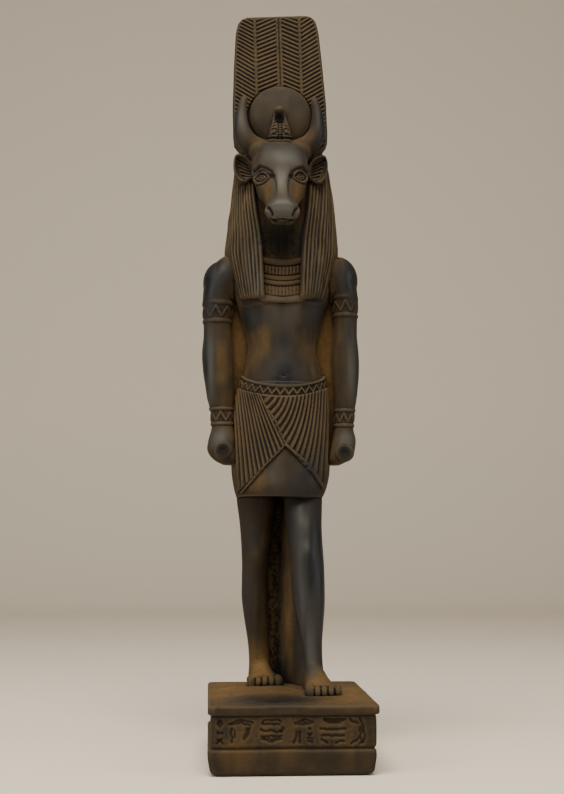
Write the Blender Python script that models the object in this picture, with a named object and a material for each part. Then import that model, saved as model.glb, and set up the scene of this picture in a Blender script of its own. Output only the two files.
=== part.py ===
"""A bull-headed standing figure in cast stone, striding on a plinth with a carved band.

The whole statue is one casting, so everything here is joined into one solid.
Metres, +Z up. The figure faces -Y, and the origin is the middle of the plinth's underside.
"""

import math

import bmesh
import bpy
import numpy as np

MM = 0.001

# The plinth.
PLINTH_WIDTH = 79.5 * MM
PLINTH_DEPTH = 104.0 * MM
PLINTH_HEIGHT = 32.5 * MM
CAP_THICKNESS = 4.3 * MM
CAP_OVERHANG = 1.0 * MM
FRIEZE_HEIGHT = 15.4 * MM
PLINTH_CORNER = 3.0 * MM
FOOT_ROUNDING = 4.2 * MM
MOUND_RISE = 1.9 * MM

# The figure, soles to the tips of the plumes, and where it stands on the plinth.
FIGURE_HEIGHT = 366.0 * MM
FIGURE_SET_BACK = 2.0 * MM
FIGURE_OFFSET = -2.0 * MM

# Every proportion of the figure is a share of its height: one unit is a 366th of it.
UNIT = FIGURE_HEIGHT / 366.0
SOLE_SINK = 1.5

# The back pillar that the figure leans on, and the thin wall of stone behind the arms, in units.
PILLAR_WIDTH = 28.0
PILLAR_DEPTH = 14.0
PILLAR_TOP = 214.0
WALL_WIDTH = 63.0
WALL_BACK = 8.0
WALL_FRONT = 19.8
WALL_BOTTOM = 118.0
WALL_TOP = 226.0

# The head and the crown sit a little to the figure's right of its middle, and the plumes lean that way.
HEAD_SHIFT = -1.2
DISK_SHIFT = -0.8
CROWN_LEAN = -0.033

# Carved detail, in units.
STRANDS = 21
STRAND_DEPTH = 0.8
BARB_PITCH = 3.9
BARB_DEPTH = 0.9
PLEATS_RIGHT = 11
PLEATS_LEFT = 13
PLEAT_DEPTH = 0.9

STONE_COLOUR = (0.045, 0.036, 0.026, 1.0)
STONE_ROUGHNESS = 0.62

forms = bpy.data.collections.new("carved_forms")


def clear_scene():
    for old in list(bpy.data.objects):
        bpy.data.objects.remove(old, do_unlink=True)


def smooth_rows(rows, count):
    """Reads `count` rows off a smooth curve (Catmull-Rom) through the given rows."""
    rows = np.array(rows, float)
    ends = np.vstack([2 * rows[0] - rows[1], rows, 2 * rows[-1] - rows[-2]])
    at = np.linspace(0, len(rows) - 1, count)
    first = np.minimum(at.astype(int), len(rows) - 2)
    t = (at - first)[:, None]
    a, b, c, d = (ends[first + k] for k in range(4))
    return 0.5 * (2 * b + (c - a) * t + (2 * a - 5 * b + 4 * c - d) * t**2 + (3 * b - a - 3 * c + d) * t**3)


def on_plinth(points):
    """Figure units (right, forward, up from the soles) to metres in the statue's frame."""
    back = PLINTH_DEPTH / 2 - FIGURE_SET_BACK
    right, forward, up = np.moveaxis(np.asarray(points, float), -1, 0)
    return np.stack([FIGURE_OFFSET + right * UNIT, back - forward * UNIT, PLINTH_HEIGHT + up * UNIT], axis=-1)


def make_object(name, mesh_points, faces, part_of=forms, hidden=True):
    """A mesh object from metres and faces, its normals turned outward."""
    bm = bmesh.new()
    verts = [bm.verts.new(p) for p in mesh_points]
    for face in faces:
        bm.faces.new([verts[i] for i in face])
    bmesh.ops.recalc_face_normals(bm, faces=bm.faces)
    if bm.calc_volume(signed=True) < 0:
        bmesh.ops.reverse_faces(bm, faces=bm.faces)
    mesh = bpy.data.meshes.new(name)
    bm.to_mesh(mesh)
    bm.free()
    made = bpy.data.objects.new(name, mesh)
    part_of.objects.link(made)
    if hidden:
        made.hide_render = True
        made.display_type = "WIRE"
    return made


def skin(name, rings, metres=False):
    """A closed solid through a stack of flat rings of points."""
    rings = np.asarray(rings, float)
    stack, around = rings.shape[:2]
    points = rings.reshape(-1, 3)
    last = (stack - 1) * around
    faces = [tuple(reversed(range(around))), tuple(range(last, last + around))]
    for i in range(around):
        j = (i + 1) % around
        for k in range(stack - 1):
            faces.append((k * around + i, k * around + j, (k + 1) * around + j, (k + 1) * around + i))
    return make_object(name, points if metres else on_plinth(points), faces)


def hoop(name, rings):
    """A closed ring: the rings of points join up end to end, like a bangle."""
    rings = np.asarray(rings, float)
    stack, around = rings.shape[:2]
    faces = []
    for k in range(stack):
        n = (k + 1) % stack
        for i in range(around):
            j = (i + 1) % around
            faces.append((k * around + i, k * around + j, n * around + j, n * around + i))
    return make_object(name, on_plinth(rings.reshape(-1, 3)), faces)


def squircle(half_width, half_depth, power, around, start=0.0):
    """Points of a superellipse: power 2 is an ellipse, and more is squarer."""
    angle = start + np.arange(around) * 2 * math.pi / around
    c, s = np.cos(angle), np.sin(angle)
    bend = 2 / power
    return half_width * np.sign(c) * abs(c) ** bend, half_depth * np.sign(s) * abs(s) ** bend


def upright(name, rows, around, count, power=2.2):
    """A limb or trunk: level superellipses. Rows: height, middle x, middle forward, half width, half depth."""
    rings = []
    for up, x, forward, half_width, half_depth in smooth_rows(rows, count):
        right, front = squircle(half_width, half_depth, power, around)
        rings.append(np.stack([x + right, forward + front, np.full(around, up)], axis=1))
    return skin(name, rings)


def front_and_back(rows, count):
    """Rows of height, half width, front and back as rows that upright() takes."""
    rows = smooth_rows(rows, count)
    up, half_width, front, back = rows.T
    return np.stack([up, 0 * up, (front + back) / 2, half_width, (front - back) / 2], axis=1)


def swept(name, rows, around, count, flat=1.0):
    """A horn, toe or cord of stone. Rows: right, forward, up, radius. `flat` narrows it front to back."""
    rows = smooth_rows(rows, count)
    middle, radius = rows[:, :3], rows[:, 3]
    along = np.gradient(middle, axis=0)
    along /= np.linalg.norm(along, axis=1)[:, None]
    ahead = np.array([0.0, 1.0, 0.0]) - along * along[:, 1:2]
    ahead /= np.linalg.norm(ahead, axis=1)[:, None]
    across = np.cross(along, ahead)
    angle = np.arange(around) * 2 * math.pi / around
    ring = (
        np.cos(angle)[None, :, None] * across[:, None] + flat * np.sin(angle)[None, :, None] * ahead[:, None]
    )
    return skin(name, middle[:, None] + ring * radius[:, None, None])


def ball(name, middle, radii, around=10, count=6):
    """An ellipsoid with its poles left and right."""
    turn = np.linspace(0.12, math.pi - 0.12, count)
    angle = np.arange(around) * 2 * math.pi / around
    rings = [
        np.stack(
            [
                np.full(around, middle[0] - radii[0] * math.cos(t)),
                middle[1] + radii[1] * math.sin(t) * np.cos(angle),
                middle[2] + radii[2] * math.sin(t) * np.sin(angle),
            ],
            axis=1,
        )
        for t in turn
    ]
    return skin(name, rings)


def sheet(name, front, back):
    """A closed slab between a front grid of points and a back grid of the same shape."""
    front, back = np.asarray(front, float), np.asarray(back, float)
    rows, columns = front.shape[:2]
    size = rows * columns
    faces = []
    for k in range(rows - 1):
        for i in range(columns - 1):
            here = k * columns + i
            quad = (here, here + 1, here + columns + 1, here + columns)
            faces.append(quad)
            faces.append(tuple(size + corner for corner in reversed(quad)))
    rim = [i for i in range(columns)]
    rim += [k * columns + columns - 1 for k in range(1, rows)]
    rim += [(rows - 1) * columns + i for i in range(columns - 2, -1, -1)]
    rim += [k * columns for k in range(rows - 2, 0, -1)]
    for a, b in zip(rim, rim[1:] + rim[:1]):
        faces.append((b, a, size + a, size + b))
    points = np.vstack([front.reshape(-1, 3), back.reshape(-1, 3)])
    return make_object(name, on_plinth(points), faces)


def ridge(count, samples):
    """Heights 0 to 1 across `count` rounded ridges, `samples` steps to each."""
    at = np.arange(count * samples + 1) / samples
    return at / count, np.abs(np.sin(math.pi * at))


def rectangle_ring(half_width, half_depth, corner, height, steps=2, middle=(0.0, 0.0)):
    """A level rectangle with rounded corners, in metres."""
    points = []
    for turn in range(4):
        sx, sy = ((1, 1), (-1, 1), (-1, -1), (1, -1))[turn]
        for step in range(steps + 1):
            angle = (turn + step / steps) * math.pi / 2
            points.append(
                (
                    middle[0] + sx * (half_width - corner) + corner * math.cos(angle),
                    middle[1] + sy * (half_depth - corner) + corner * math.sin(angle),
                    height,
                )
            )
    return points


def build_plinth():
    """Rounded base, sunk band and overhanging cap, under a top that swells towards the feet."""
    half_width, half_depth = PLINTH_WIDTH / 2, PLINTH_DEPTH / 2
    cap_bottom = PLINTH_HEIGHT - CAP_THICKNESS
    band_bottom = cap_bottom - FRIEZE_HEIGHT
    rings = []

    def level(inset, height):
        corner = max(PLINTH_CORNER - inset * 0.5, 0.5 * MM)
        rings.append(rectangle_ring(half_width - inset, half_depth - inset, corner, height))

    base_inset = CAP_OVERHANG * 0.6
    for step in range(5):
        angle = step / 4 * math.pi / 2
        level(
            base_inset + FOOT_ROUNDING * (1 - math.sin(angle)),
            FOOT_ROUNDING * (1 - math.cos(angle)),
        )
    level(base_inset, band_bottom - 0.8 * MM)
    level(CAP_OVERHANG + 0.7 * MM, band_bottom)
    level(CAP_OVERHANG, band_bottom + 0.7 * MM)
    level(CAP_OVERHANG, cap_bottom - 0.5 * MM)
    level(CAP_OVERHANG + 0.5 * MM, cap_bottom)
    level(0.4 * MM, cap_bottom + 0.1 * MM)
    level(0.0, cap_bottom + 0.6 * MM)
    level(0.0, PLINTH_HEIGHT - 0.8 * MM)
    level(0.8 * MM, PLINTH_HEIGHT)
    for share in (0.8, 0.6, 0.4, 0.2):
        rise = MOUND_RISE * (1 - share**2) ** 1.5
        rings.append(
            rectangle_ring(
                share * half_width,
                share * half_depth,
                share * PLINTH_CORNER + (1 - share) * 6 * MM * share,
                PLINTH_HEIGHT + rise,
                middle=(0.0, (1 - share) * half_depth * 0.4),
            )
        )
    return skin("plinth", rings, metres=True)


def build_supports():
    """The back pillar, the wall behind the arms, and the web from the pillar to the advanced leg."""

    def post(name, half_width, back, front, rows, corner=1.2):
        rings = []
        for up, inset in rows:
            ring = rectangle_ring(half_width - inset, (front - back) / 2 - inset, corner, up, 2)
            rings.append([(x, y + (front + back) / 2, z) for x, y, z in ring])
        skin(name, rings)

    post(
        "back_pillar",
        PILLAR_WIDTH / 2,
        0.0,
        PILLAR_DEPTH,
        [(-SOLE_SINK - 1, 0), (PILLAR_TOP - 1, 0), (PILLAR_TOP, 1)],
    )
    post(
        "wall_behind_arms",
        WALL_WIDTH / 2,
        WALL_BACK,
        WALL_FRONT,
        [(WALL_BOTTOM, 2.0), (WALL_BOTTOM + 4, 0), (WALL_TOP - 12, 0), (WALL_TOP, 9.0 * 0.5)],
    )
    web = []
    for up, _, forward, _, _ in smooth_rows(FRONT_LEG, 6)[1:]:
        web.append([(-1.5, 12.0, up), (12.5, 12.0, up), (17.0, forward, up), (10.5, forward, up)])
    web = [[(x, f, 103.0) for x, f, _ in web[0]]] + web[1:-1] + [[(x, f, -SOLE_SINK) for x, f, _ in web[-1]]]
    skin("web_between_legs", web)


# Height above the soles, middle x, middle forward, half width, half depth.
REAR_LEG = [
    (108, -12.0, 18.0, 10.2, 10.0),
    (99, -12.3, 18.0, 9.6, 9.8),
    (82, -12.8, 18.2, 8.1, 8.8),
    (66, -13.5, 18.5, 7.0, 7.9),
    (55, -13.6, 17.5, 6.9, 7.8),
    (44, -13.5, 16.6, 6.8, 8.3),
    (33, -12.6, 16.4, 6.2, 7.5),
    (23, -11.6, 16.6, 5.6, 6.4),
    (14, -11.0, 16.8, 5.5, 6.1),
    (6, -11.0, 17.5, 5.9, 7.0),
    (-1, -10.9, 18.0, 6.4, 7.6),
]
FRONT_LEG = [
    (108, 11.5, 24.0, 10.9, 11.0),
    (99, 11.6, 27.0, 10.6, 10.8),
    (82, 11.9, 32.0, 9.2, 9.8),
    (66, 12.8, 37.0, 8.9, 9.3),
    (55, 13.1, 38.5, 8.8, 9.0),
    (44, 13.1, 39.6, 8.8, 9.2),
    (34, 13.4, 41.5, 7.6, 8.3),
    (25, 13.8, 43.5, 6.0, 6.8),
    (17, 14.4, 45.0, 5.1, 6.1),
    (10, 15.0, 46.5, 5.1, 6.5),
    (3, 15.4, 48.0, 5.6, 7.2),
    (-1, 15.5, 48.4, 5.9, 7.6),
]
# Along the foot: share of its length, half width, height.
FOOT = [(0.0, 3.6, 6.0), (0.14, 5.4, 11.0), (0.36, 5.7, 12.4), (0.56, 6.5, 9.4), (0.76, 7.9, 6.4), (0.9, 8.3, 4.4)]
TOES = 5


def build_foot(name, heel, toe, turned, inner, lift):
    """A foot from heel to toes, its sole sunk in the plinth. `inner` is +1 where the big toe lies to +X."""
    length = toe[1] - heel[1]
    rings = []
    for share, half_width, height in smooth_rows(FOOT, 7):
        x = heel[0] + (toe[0] - heel[0]) * share + turned * share**2
        right, up = squircle(half_width, height, 2.3, 10)
        rings.append(np.stack([x + right, np.full(10, heel[1] + length * share), lift + up], axis=1))
    skin(name, rings)
    for index in range(TOES):
        share = index / (TOES - 1)
        x = toe[0] + turned + inner * (6.5 - 13.6 * share)
        reach = toe[1] - 3.4 - 3.6 * share**1.7
        size = 2.0 if index == 0 else 1.65 - 0.1 * share
        ball(f"{name}_toe_{index + 1}", (x, reach, lift + 1.5), (size, 4.4 - share, 2.7 - 0.5 * share), 6, 4)


def build_legs():
    upright("rear_leg", REAR_LEG, 12, 11)
    upright("front_leg", FRONT_LEG, 12, 12)
    build_foot("rear_foot", (-11.2, 11.0), (-9.4, 36.0), 1.0, 1, 2.4)
    build_foot("front_foot", (15.2, 40.0), (16.6, 75.5), 0.6, -1, 1.5)


# Height, half width, front, back.
KILT = [
    (160, 24.0, 35.3, 7.0),
    (152, 25.0, 36.0, 5.0),
    (140, 26.0, 37.0, 4.0),
    (126, 26.5, 38.2, 4.0),
    (113, 26.3, 39.0, 4.0),
    (105, 25.6, 39.2, 5.0),
    (99.3, 24.8, 38.6, 6.0),
]
KILT_POWER = 2.4
BELT_DIP = 4.9
BELT_BOTTOM = 156.6
BELT_DEEP = 6.5
# Corners of the folded kilt seen from the front, as x and height.
FLAP_TOP = (-10.6, 150.6)
APEX = (1.8, 126.5)
APRON_RIGHT_HAND = (-22.6, 100.2)
APRON_LEFT_HAND = (22.4, 102.6)


def kilt_point(x, up, proud):
    """The kilt's front at a place seen from the front, raised by `proud`."""
    heights = np.array([row[0] for row in KILT])[::-1]
    half_width, front, back = (
        np.interp(up, heights, np.array([row[k] for row in KILT])[::-1]) for k in (1, 2, 3)
    )
    share = np.clip(np.abs(x) / half_width, 0, 0.995)
    angle = np.arcsin(share ** (KILT_POWER / 2))
    right = np.sign(x) * (half_width + proud) * np.sin(angle) ** (2 / KILT_POWER)
    depth = (front - back) / 2
    forward = (front + back) / 2 + (depth + proud) * np.cos(angle) ** (2 / KILT_POWER)
    return np.stack([right, forward, up + 0 * x], axis=-1)


def belt_edge(x, hip_height):
    """A belt edge hangs lower in front than at the hips."""
    return hip_height - BELT_DIP * (1 - (x / 24.0) ** 2)


def pleated(name, tops, controls, ends, pleats, rows):
    """A pleated sheet whose folds run along curves from `tops` to `ends`."""
    _, height = ridge(pleats, 2)
    v = np.linspace(0, 1, rows)[:, None, None]
    lines = (1 - v) ** 2 * tops + 2 * v * (1 - v) * controls + v**2 * ends
    x, up = lines[..., 0], lines[..., 1]
    front = kilt_point(x, up, 0.35 + PLEAT_DEPTH * np.broadcast_to(height, x.shape))
    return sheet(name, front, kilt_point(x * 0.97, up, -2.5))


def build_kilt():
    """The wrapped kilt: two pleated sides, a plain apron showing between them, and a belt."""
    upright("kilt", front_and_back(KILT, 5), 20, 5, KILT_POWER)
    side = 25.2

    share, _ = ridge(PLEATS_RIGHT, 2)
    top_x = -side + share * (FLAP_TOP[0] + side)
    tops = np.stack([top_x, belt_edge(top_x, BELT_BOTTOM + 1.0)], axis=1)
    ends = np.stack(
        [
            APRON_RIGHT_HAND[0] + share * (APEX[0] - APRON_RIGHT_HAND[0]),
            APRON_RIGHT_HAND[1] + share * (APEX[1] - APRON_RIGHT_HAND[1]),
        ],
        axis=1,
    )
    ends[0, 0] = -side + 0.6
    pleated("pleats_right", tops, (tops + ends) / 2 - [0.0, 1.0], ends, PLEATS_RIGHT, 5)

    share, _ = ridge(PLEATS_LEFT, 2)
    top_x = FLAP_TOP[0] + 1.6 + share**0.72 * (side - FLAP_TOP[0] - 1.6)
    tops = np.stack([top_x, belt_edge(top_x, BELT_BOTTOM + 1.0)], axis=1)
    path = np.array([FLAP_TOP, APEX, APRON_LEFT_HAND])
    reach = np.concatenate([[0], np.cumsum(np.linalg.norm(np.diff(path, axis=0), axis=1))])
    at = share * reach[-1]
    ends = np.stack([np.interp(at, reach, path[:, 0]), np.interp(at, reach, path[:, 1])], axis=1)
    ends[-1, 0] = side - 0.6
    controls = np.stack([0.8 * tops[:, 0] + 0.2 * ends[:, 0], ends[:, 1] + 0.42 * (tops[:, 1] - ends[:, 1])], axis=1)
    pleated("pleats_left", tops, controls, ends, PLEATS_LEFT, 6)

    profile = [(0.0, -3.0), (0.05, 1.4), (0.25, 0.9), (0.75, 0.9), (0.95, 1.4), (1.0, -3.0)]
    rings = []
    for a in np.arange(24) * 2 * math.pi / 24:
        ring = []
        for rise, proud in profile:
            right, front = 24.6 + proud, 15.4 + proud
            x = right * math.copysign(abs(math.cos(a)) ** (2 / KILT_POWER), math.cos(a))
            f = 20.6 + front * math.copysign(abs(math.sin(a)) ** (2 / KILT_POWER), math.sin(a))
            dip = BELT_DIP * max(math.sin(a), 0.0) ** 1.5
            ring.append((x, f, BELT_BOTTOM + rise * BELT_DEEP - dip))
        rings.append(ring)
    hoop("belt", rings)


TORSO = [
    (234, 11.0, 30.0, 10.0),
    (230, 23.5, 31.0, 8.0),
    (223, 29.5, 33.6, 6.0),
    (213, 28.8, 36.0, 5.0),
    (203, 25.6, 36.3, 5.0),
    (194, 22.5, 35.4, 6.0),
    (181, 19.2, 33.8, 8.0),
    (170, 20.9, 34.4, 8.0),
    (162, 22.8, 35.2, 7.0),
    (150, 23.8, 35.0, 7.0),
]
# Height, middle x, middle forward, half width, half depth.
ARM = [
    (231.5, 21.5, 19.5, 7.4, 6.0),
    (227.5, 25.2, 19.8, 9.2, 9.0),
    (221.5, 28.9, 20.0, 9.9, 10.3),
    (214.5, 32.2, 20.2, 9.3, 10.4),
    (206.5, 34.5, 20.4, 7.8, 9.6),
    (195.5, 34.9, 20.6, 7.0, 8.8),
    (185.5, 34.6, 21.0, 7.1, 8.6),
    (176.5, 34.7, 21.6, 7.8, 8.8),
    (167.5, 34.6, 22.2, 7.7, 8.5),
    (159.5, 34.2, 22.8, 7.2, 7.8),
    (151.5, 33.5, 23.2, 6.3, 7.0),
    (143.5, 32.6, 23.4, 5.5, 6.5),
    (136.0, 32.3, 23.8, 5.7, 7.0),
    (129.5, 32.8, 24.4, 6.7, 8.4),
    (123.5, 32.8, 24.6, 6.9, 8.6),
    (119.0, 31.2, 24.4, 6.2, 7.4),
    (116.0, 29.6, 24.0, 4.0, 5.0),
]
ARMBANDS = {"right": (194.6, 206.6), "left": (197.0, 209.0)}
BRACELETS = {"right": (137.5, 148.2), "left": (136.5, 147.4)}


def band(name, side, low, high):
    """A bangle with a raised rim above and below, fitted to the arm."""
    rows = np.array(ARM)[::-1]
    profile = [(0, -2.0), (0.04, 0.7), (0.24, 0.3), (0.76, 0.3), (0.96, 0.7), (1, -2.0)]
    rings = []
    for a in (np.arange(12) + 0.37) * 2 * math.pi / 12:
        ring = []
        for share, proud in profile:
            up = low + share * (high - low)
            x, f, half_width, half_depth = (np.interp(up, rows[:, 0], rows[:, k]) for k in (1, 2, 3, 4))
            right, front = math.cos(a), math.sin(a)
            ring.append((side * (x + (half_width + proud) * right), f + (half_depth + proud) * front, up))
        rings.append(ring)
    hoop(name, rings)


def build_torso_and_arms():
    upright("torso", front_and_back(TORSO, 11), 20, 11, 2.3)
    for side, hand in ((-1, "right"), (1, "left")):
        rows = [(up, side * x, f, hw, hd) for up, x, f, hw, hd in ARM]
        upright(f"{hand}_arm", rows, 12, 14)
        band(f"{hand}_armband", side, *ARMBANDS[hand])
        band(f"{hand}_bracelet", side, *BRACELETS[hand])


# The wig: height, half width, front, back, half width of the opening for face and throat.
WIG = [
    (203.2, 22.4, 42.0, 2.0, 10.3),
    (205.5, 23.4, 42.6, 0.0, 10.3),
    (213.0, 26.0, 42.6, -1.0, 10.4),
    (226.0, 29.8, 41.6, -1.5, 10.8),
    (232.0, 30.6, 41.0, -1.5, 11.2),
    (240.0, 29.7, 40.2, -1.5, 12.0),
    (253.0, 28.2, 38.0, -1.0, 14.0),
    (268.0, 26.4, 35.0, 0.5, 15.5),
    (280.0, 25.2, 31.5, 3.0, 15.5),
    (287.5, 23.2, 28.5, 6.0, 14.5),
    (291.8, 21.0, 26.5, 9.0, 13.0),
]
THROAT_FORWARD = 31.0
WIG_POWER = 2.6


def build_wig():
    """A wig that falls behind the shoulders and in two lappets before them, all in long strands."""
    across = STRANDS * 2
    rings = []
    for up, half_width, front, back, opening in smooth_rows(WIG, 8):
        start = math.asin(min(opening / half_width, 0.95) ** (WIG_POWER / 2))
        turn = start + np.arange(across + 1) / across * 2 * (math.pi - start)
        groove = -STRAND_DEPTH * (np.arange(across + 1) % 2)
        s, c = np.sin(turn), np.cos(turn)
        right = (half_width + groove) * np.sign(s) * abs(s) ** (2 / WIG_POWER)
        depth = (front - back) / 2 + groove
        forward = (front + back) / 2 + depth * np.sign(c) * abs(c) ** (2 / WIG_POWER)
        ring = [(x, f, up) for x, f in zip(right, forward)]
        ring.append((right[-1] + 0.4, min(THROAT_FORWARD, front - 1.0), up))
        ring.append((right[0] - 0.4, min(THROAT_FORWARD, front - 1.0), up))
        rings.append(ring)
    skin("wig", rings)


# Height from, height to, how far it stands out.
COLLAR_BANDS = [
    (201.8, 205.4, 1.2),
    (205.4, 211.8, 0.3),
    (211.8, 214.3, 1.0),
    (214.3, 217.0, 1.0),
    (217.0, 222.8, 0.3),
    (222.8, 226.4, 1.2),
]


def build_collar():
    """The broad collar between the lappets: plain rolls and flat rows, sagging a little in the middle."""
    x = np.linspace(-12.5, 12.5, 6)
    heights, proud = [COLLAR_BANDS[0][0]], [0.0]
    for low, high, raised in COLLAR_BANDS:
        step = high - low
        heights += [low + 0.3 * step, low + 0.7 * step, high]
        proud += [raised, raised, 0.0]
    heights, proud = np.array(heights)[:, None], np.array(proud)[:, None]
    sag = 1.8 * (1 - (x / 11.0) ** 2)
    lean = (heights - heights[0]) / (heights[-1] - heights[0]) * 2.4
    forward = 37.6 + proud - lean - 0.012 * x**2
    grid = np.broadcast_arrays(x[None], forward, heights + 1.2 - sag)
    front = np.stack(grid, axis=-1)
    back = front.copy()
    back[..., 1] = 28.0
    sheet("collar", front, back)


# Along the head, skull to lips: forward, up, half width, half height across the run of the face.
HEAD = [
    (24.0, 282.0, 12.0, 9.0),
    (31.0, 279.8, 14.4, 11.8),
    (37.5, 275.6, 15.3, 12.8),
    (42.5, 269.3, 14.9, 12.0),
    (47.5, 261.5, 12.4, 10.4),
    (52.0, 254.6, 9.4, 8.8),
    (56.0, 249.2, 8.4, 7.2),
    (59.5, 246.0, 9.0, 6.4),
    (62.6, 243.9, 8.5, 5.2),
    (64.4, 242.8, 6.0, 3.2),
]
HORN = [
    (4.5, 31.0, 286.6, 5.6),
    (10.6, 32.5, 287.4, 5.6),
    (16.2, 33.4, 290.2, 5.4),
    (19.9, 33.2, 295.8, 4.8),
    (20.8, 32.2, 302.6, 3.7),
    (20.2, 31.2, 310.0, 2.6),
    (18.6, 30.4, 317.6, 0.8),
]


def build_head():
    """The bull's head: brow, cheeks and muzzle, with ears held out over the wig."""
    rows = smooth_rows(HEAD, 11)
    middle = np.stack([0 * rows[:, 0] + HEAD_SHIFT, rows[:, 0], rows[:, 1]], axis=1)
    along = np.gradient(middle, axis=0)
    along /= np.linalg.norm(along, axis=1)[:, None]
    over = np.stack([0 * along[:, 0], -along[:, 2], along[:, 1]], axis=1)
    rings = []
    for place, rise, (_, _, half_width, half_height) in zip(middle, over, rows):
        right, up = squircle(half_width, half_height, 2.25, 16)
        rings.append(place + np.stack([right, up * rise[1], up * rise[2]], axis=1))
    skin("head", rings)
    for side, hand in ((-1, "right"), (1, "left")):
        swept(f"{hand}_horn", [(HEAD_SHIFT + side * x, f, up, r) for x, f, up, r in HORN], 8, 9)
        leaf = [
            (14.0, 33.5, 271.0, 2.6),
            (17.0, 34.0, 272.5, 5.0),
            (20.0, 34.0, 275.5, 5.6),
            (22.8, 33.4, 279.4, 4.2),
            (24.6, 32.6, 282.8, 0.8),
        ]
        swept(f"{hand}_ear", [(side * x, f, up, r) for x, f, up, r in leaf], 10, 7, flat=0.5)
        ball(f"{hand}_eye", (HEAD_SHIFT + side * 10.0, 46.4, 267.6), (3.5, 2.6, 2.0), 8, 5)
        ball(f"{hand}_brow", (HEAD_SHIFT + side * 9.4, 45.4, 272.0), (5.2, 2.4, 1.3), 8, 5)
        ball(f"{hand}_nostril", (HEAD_SHIFT + side * 6.2, 61.6, 245.6), (2.6, 3.2, 2.6), 8, 5)


# Half of the crown's outline, bottom to top: half width and height.
CROWN_EDGE = [
    (16.0, 284.0),
    (22.0, 288.5),
    (25.6, 293.5),
    (26.0, 300.0),
    (25.8, 316.0),
    (25.0, 329.0),
    (23.9, 342.0),
    (22.8, 356.0),
]
CROWN_CORNER = 6.5
CROWN_TOP = 366.0
CROWN_BACK = 14.0
CROWN_FRONT = 25.0
DISK_HEIGHT = 306.9
DISK_RADIUS = 16.8
RACHIS_X = 12.4


def leaning(x, up):
    """The plumes lean a little: x drifts with height."""
    return x + CROWN_LEAN * (up - 295.0)


def crown_outline(inset):
    """The outline of the double plume, as (x, up): up one side, over the two tips and down the other."""
    sides = [(x - inset, up) for x, up in CROWN_EDGE]
    top = CROWN_TOP - inset
    last = sides[-1]
    corner = [
        (last[0] - CROWN_CORNER * (1 - math.cos(a)), top - CROWN_CORNER * (1 - math.sin(a)))
        for a in np.linspace(0.15, math.pi / 2, 5)
    ]
    tips = [(9.0, top), (3.0, top - 0.3), (0.0, top - 0.7)]
    half = sides + corner + tips
    return [(leaning(x, up), up) for x, up in half + [(-x, up) for x, up in reversed(half[:-1])]]


def build_plumes():
    """Two tall plumes side by side, each with a rachis and slanting barbs."""
    rings = []
    for forward, inset in (
        (CROWN_BACK, 1.2),
        (CROWN_BACK + 1.2, 0.0),
        (CROWN_FRONT - 1.0, 0.0),
        (CROWN_FRONT, 0.9),
    ):
        rings.append([(x, forward, up) for x, up in crown_outline(inset)])
    skin("crown_slab", rings)

    trim = skin("crown_trim", [[(x, f, up) for x, up in crown_outline(0.8)] for f in (20.0, 30.0)])
    forms.objects.unlink(trim)
    bpy.context.scene.collection.objects.link(trim)
    low, high = 288.0, 370.0
    share, height = ridge(int((high - low) / BARB_PITCH), 2)
    for vane, (start, end, slope) in enumerate(((RACHIS_X - 0.9, 0.9, 0.44), (RACHIS_X + 0.9, 24.6, 0.6))):
        for side, hand in ((-1, "right"), (1, "left")):
            up = low + share * (high - low)
            front = [
                [(leaning(side * x, z), f, z + rise) for f, z in zip(CROWN_FRONT + BARB_DEPTH * height, up)]
                for x, rise in ((start, 0.0), (end, abs(end - start) * slope))
            ]
            back = [[(x, CROWN_FRONT - 2.0, z) for x, _, z in row] for row in front]
            barbs = sheet(f"{hand}_barbs_{vane + 1}", front, back)
            cut = barbs.modifiers.new("inside the outline", "BOOLEAN")
            cut.operation = "INTERSECT"
            cut.solver = "MANIFOLD"
            cut.object = trim


def build_disk_and_cobra():
    """The sun's disk held by the horns, and the cobra rearing before it."""
    profile = [(1.0, 20.0), (1.0, 29.5), (0.92, 31.3), (0.55, 32.8)]
    angle = np.arange(26) * 2 * math.pi / 26
    rings = [
        np.stack(
            [
                DISK_SHIFT + DISK_RADIUS * share * np.cos(angle),
                np.full(26, forward),
                DISK_HEIGHT + DISK_RADIUS * share * np.sin(angle),
            ],
            axis=1,
        )
        for share, forward in profile
    ]
    skin("sun_disk", rings)
    cobra = [
        (-1.1, 33.0, 290.5, 4.4),
        (-1.1, 34.2, 294.0, 6.0),
        (-1.1, 35.0, 298.0, 5.4),
        (-1.1, 35.2, 302.0, 4.0),
        (-1.2, 35.6, 305.5, 2.8),
        (-1.4, 36.6, 308.0, 2.2),
        (-1.6, 36.8, 309.8, 1.0),
    ]
    swept("cobra", cobra, 8, 8, flat=0.55)


def join_everything(plinth):
    """One casting: every form joined to the plinth by a single Boolean."""
    statue = plinth
    statue.name = "montu_statue"
    statue.hide_render = False
    statue.display_type = "TEXTURED"
    forms.objects.unlink(statue)
    bpy.context.scene.collection.objects.link(statue)
    join = statue.modifiers.new("one casting", "BOOLEAN")
    join.operation = "UNION"
    join.solver = "MANIFOLD"
    join.operand_type = "COLLECTION"
    join.collection = forms
    stone = bpy.data.materials.new("cast_stone")
    stone.use_nodes = True
    shader = stone.node_tree.nodes["Principled BSDF"]
    shader.inputs["Base Color"].default_value = STONE_COLOUR
    shader.inputs["Roughness"].default_value = STONE_ROUGHNESS
    shader.inputs["Metallic"].default_value = 0.0
    statue.data.materials.append(stone)
    return statue


def main():
    clear_scene()
    bpy.context.scene.collection.children.link(forms)
    plinth = build_plinth()
    build_supports()
    build_legs()
    build_kilt()
    build_torso_and_arms()
    build_wig()
    build_collar()
    build_head()
    build_plumes()
    build_disk_and_cobra()
    join_everything(plinth)


main()
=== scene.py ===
import math

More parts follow.
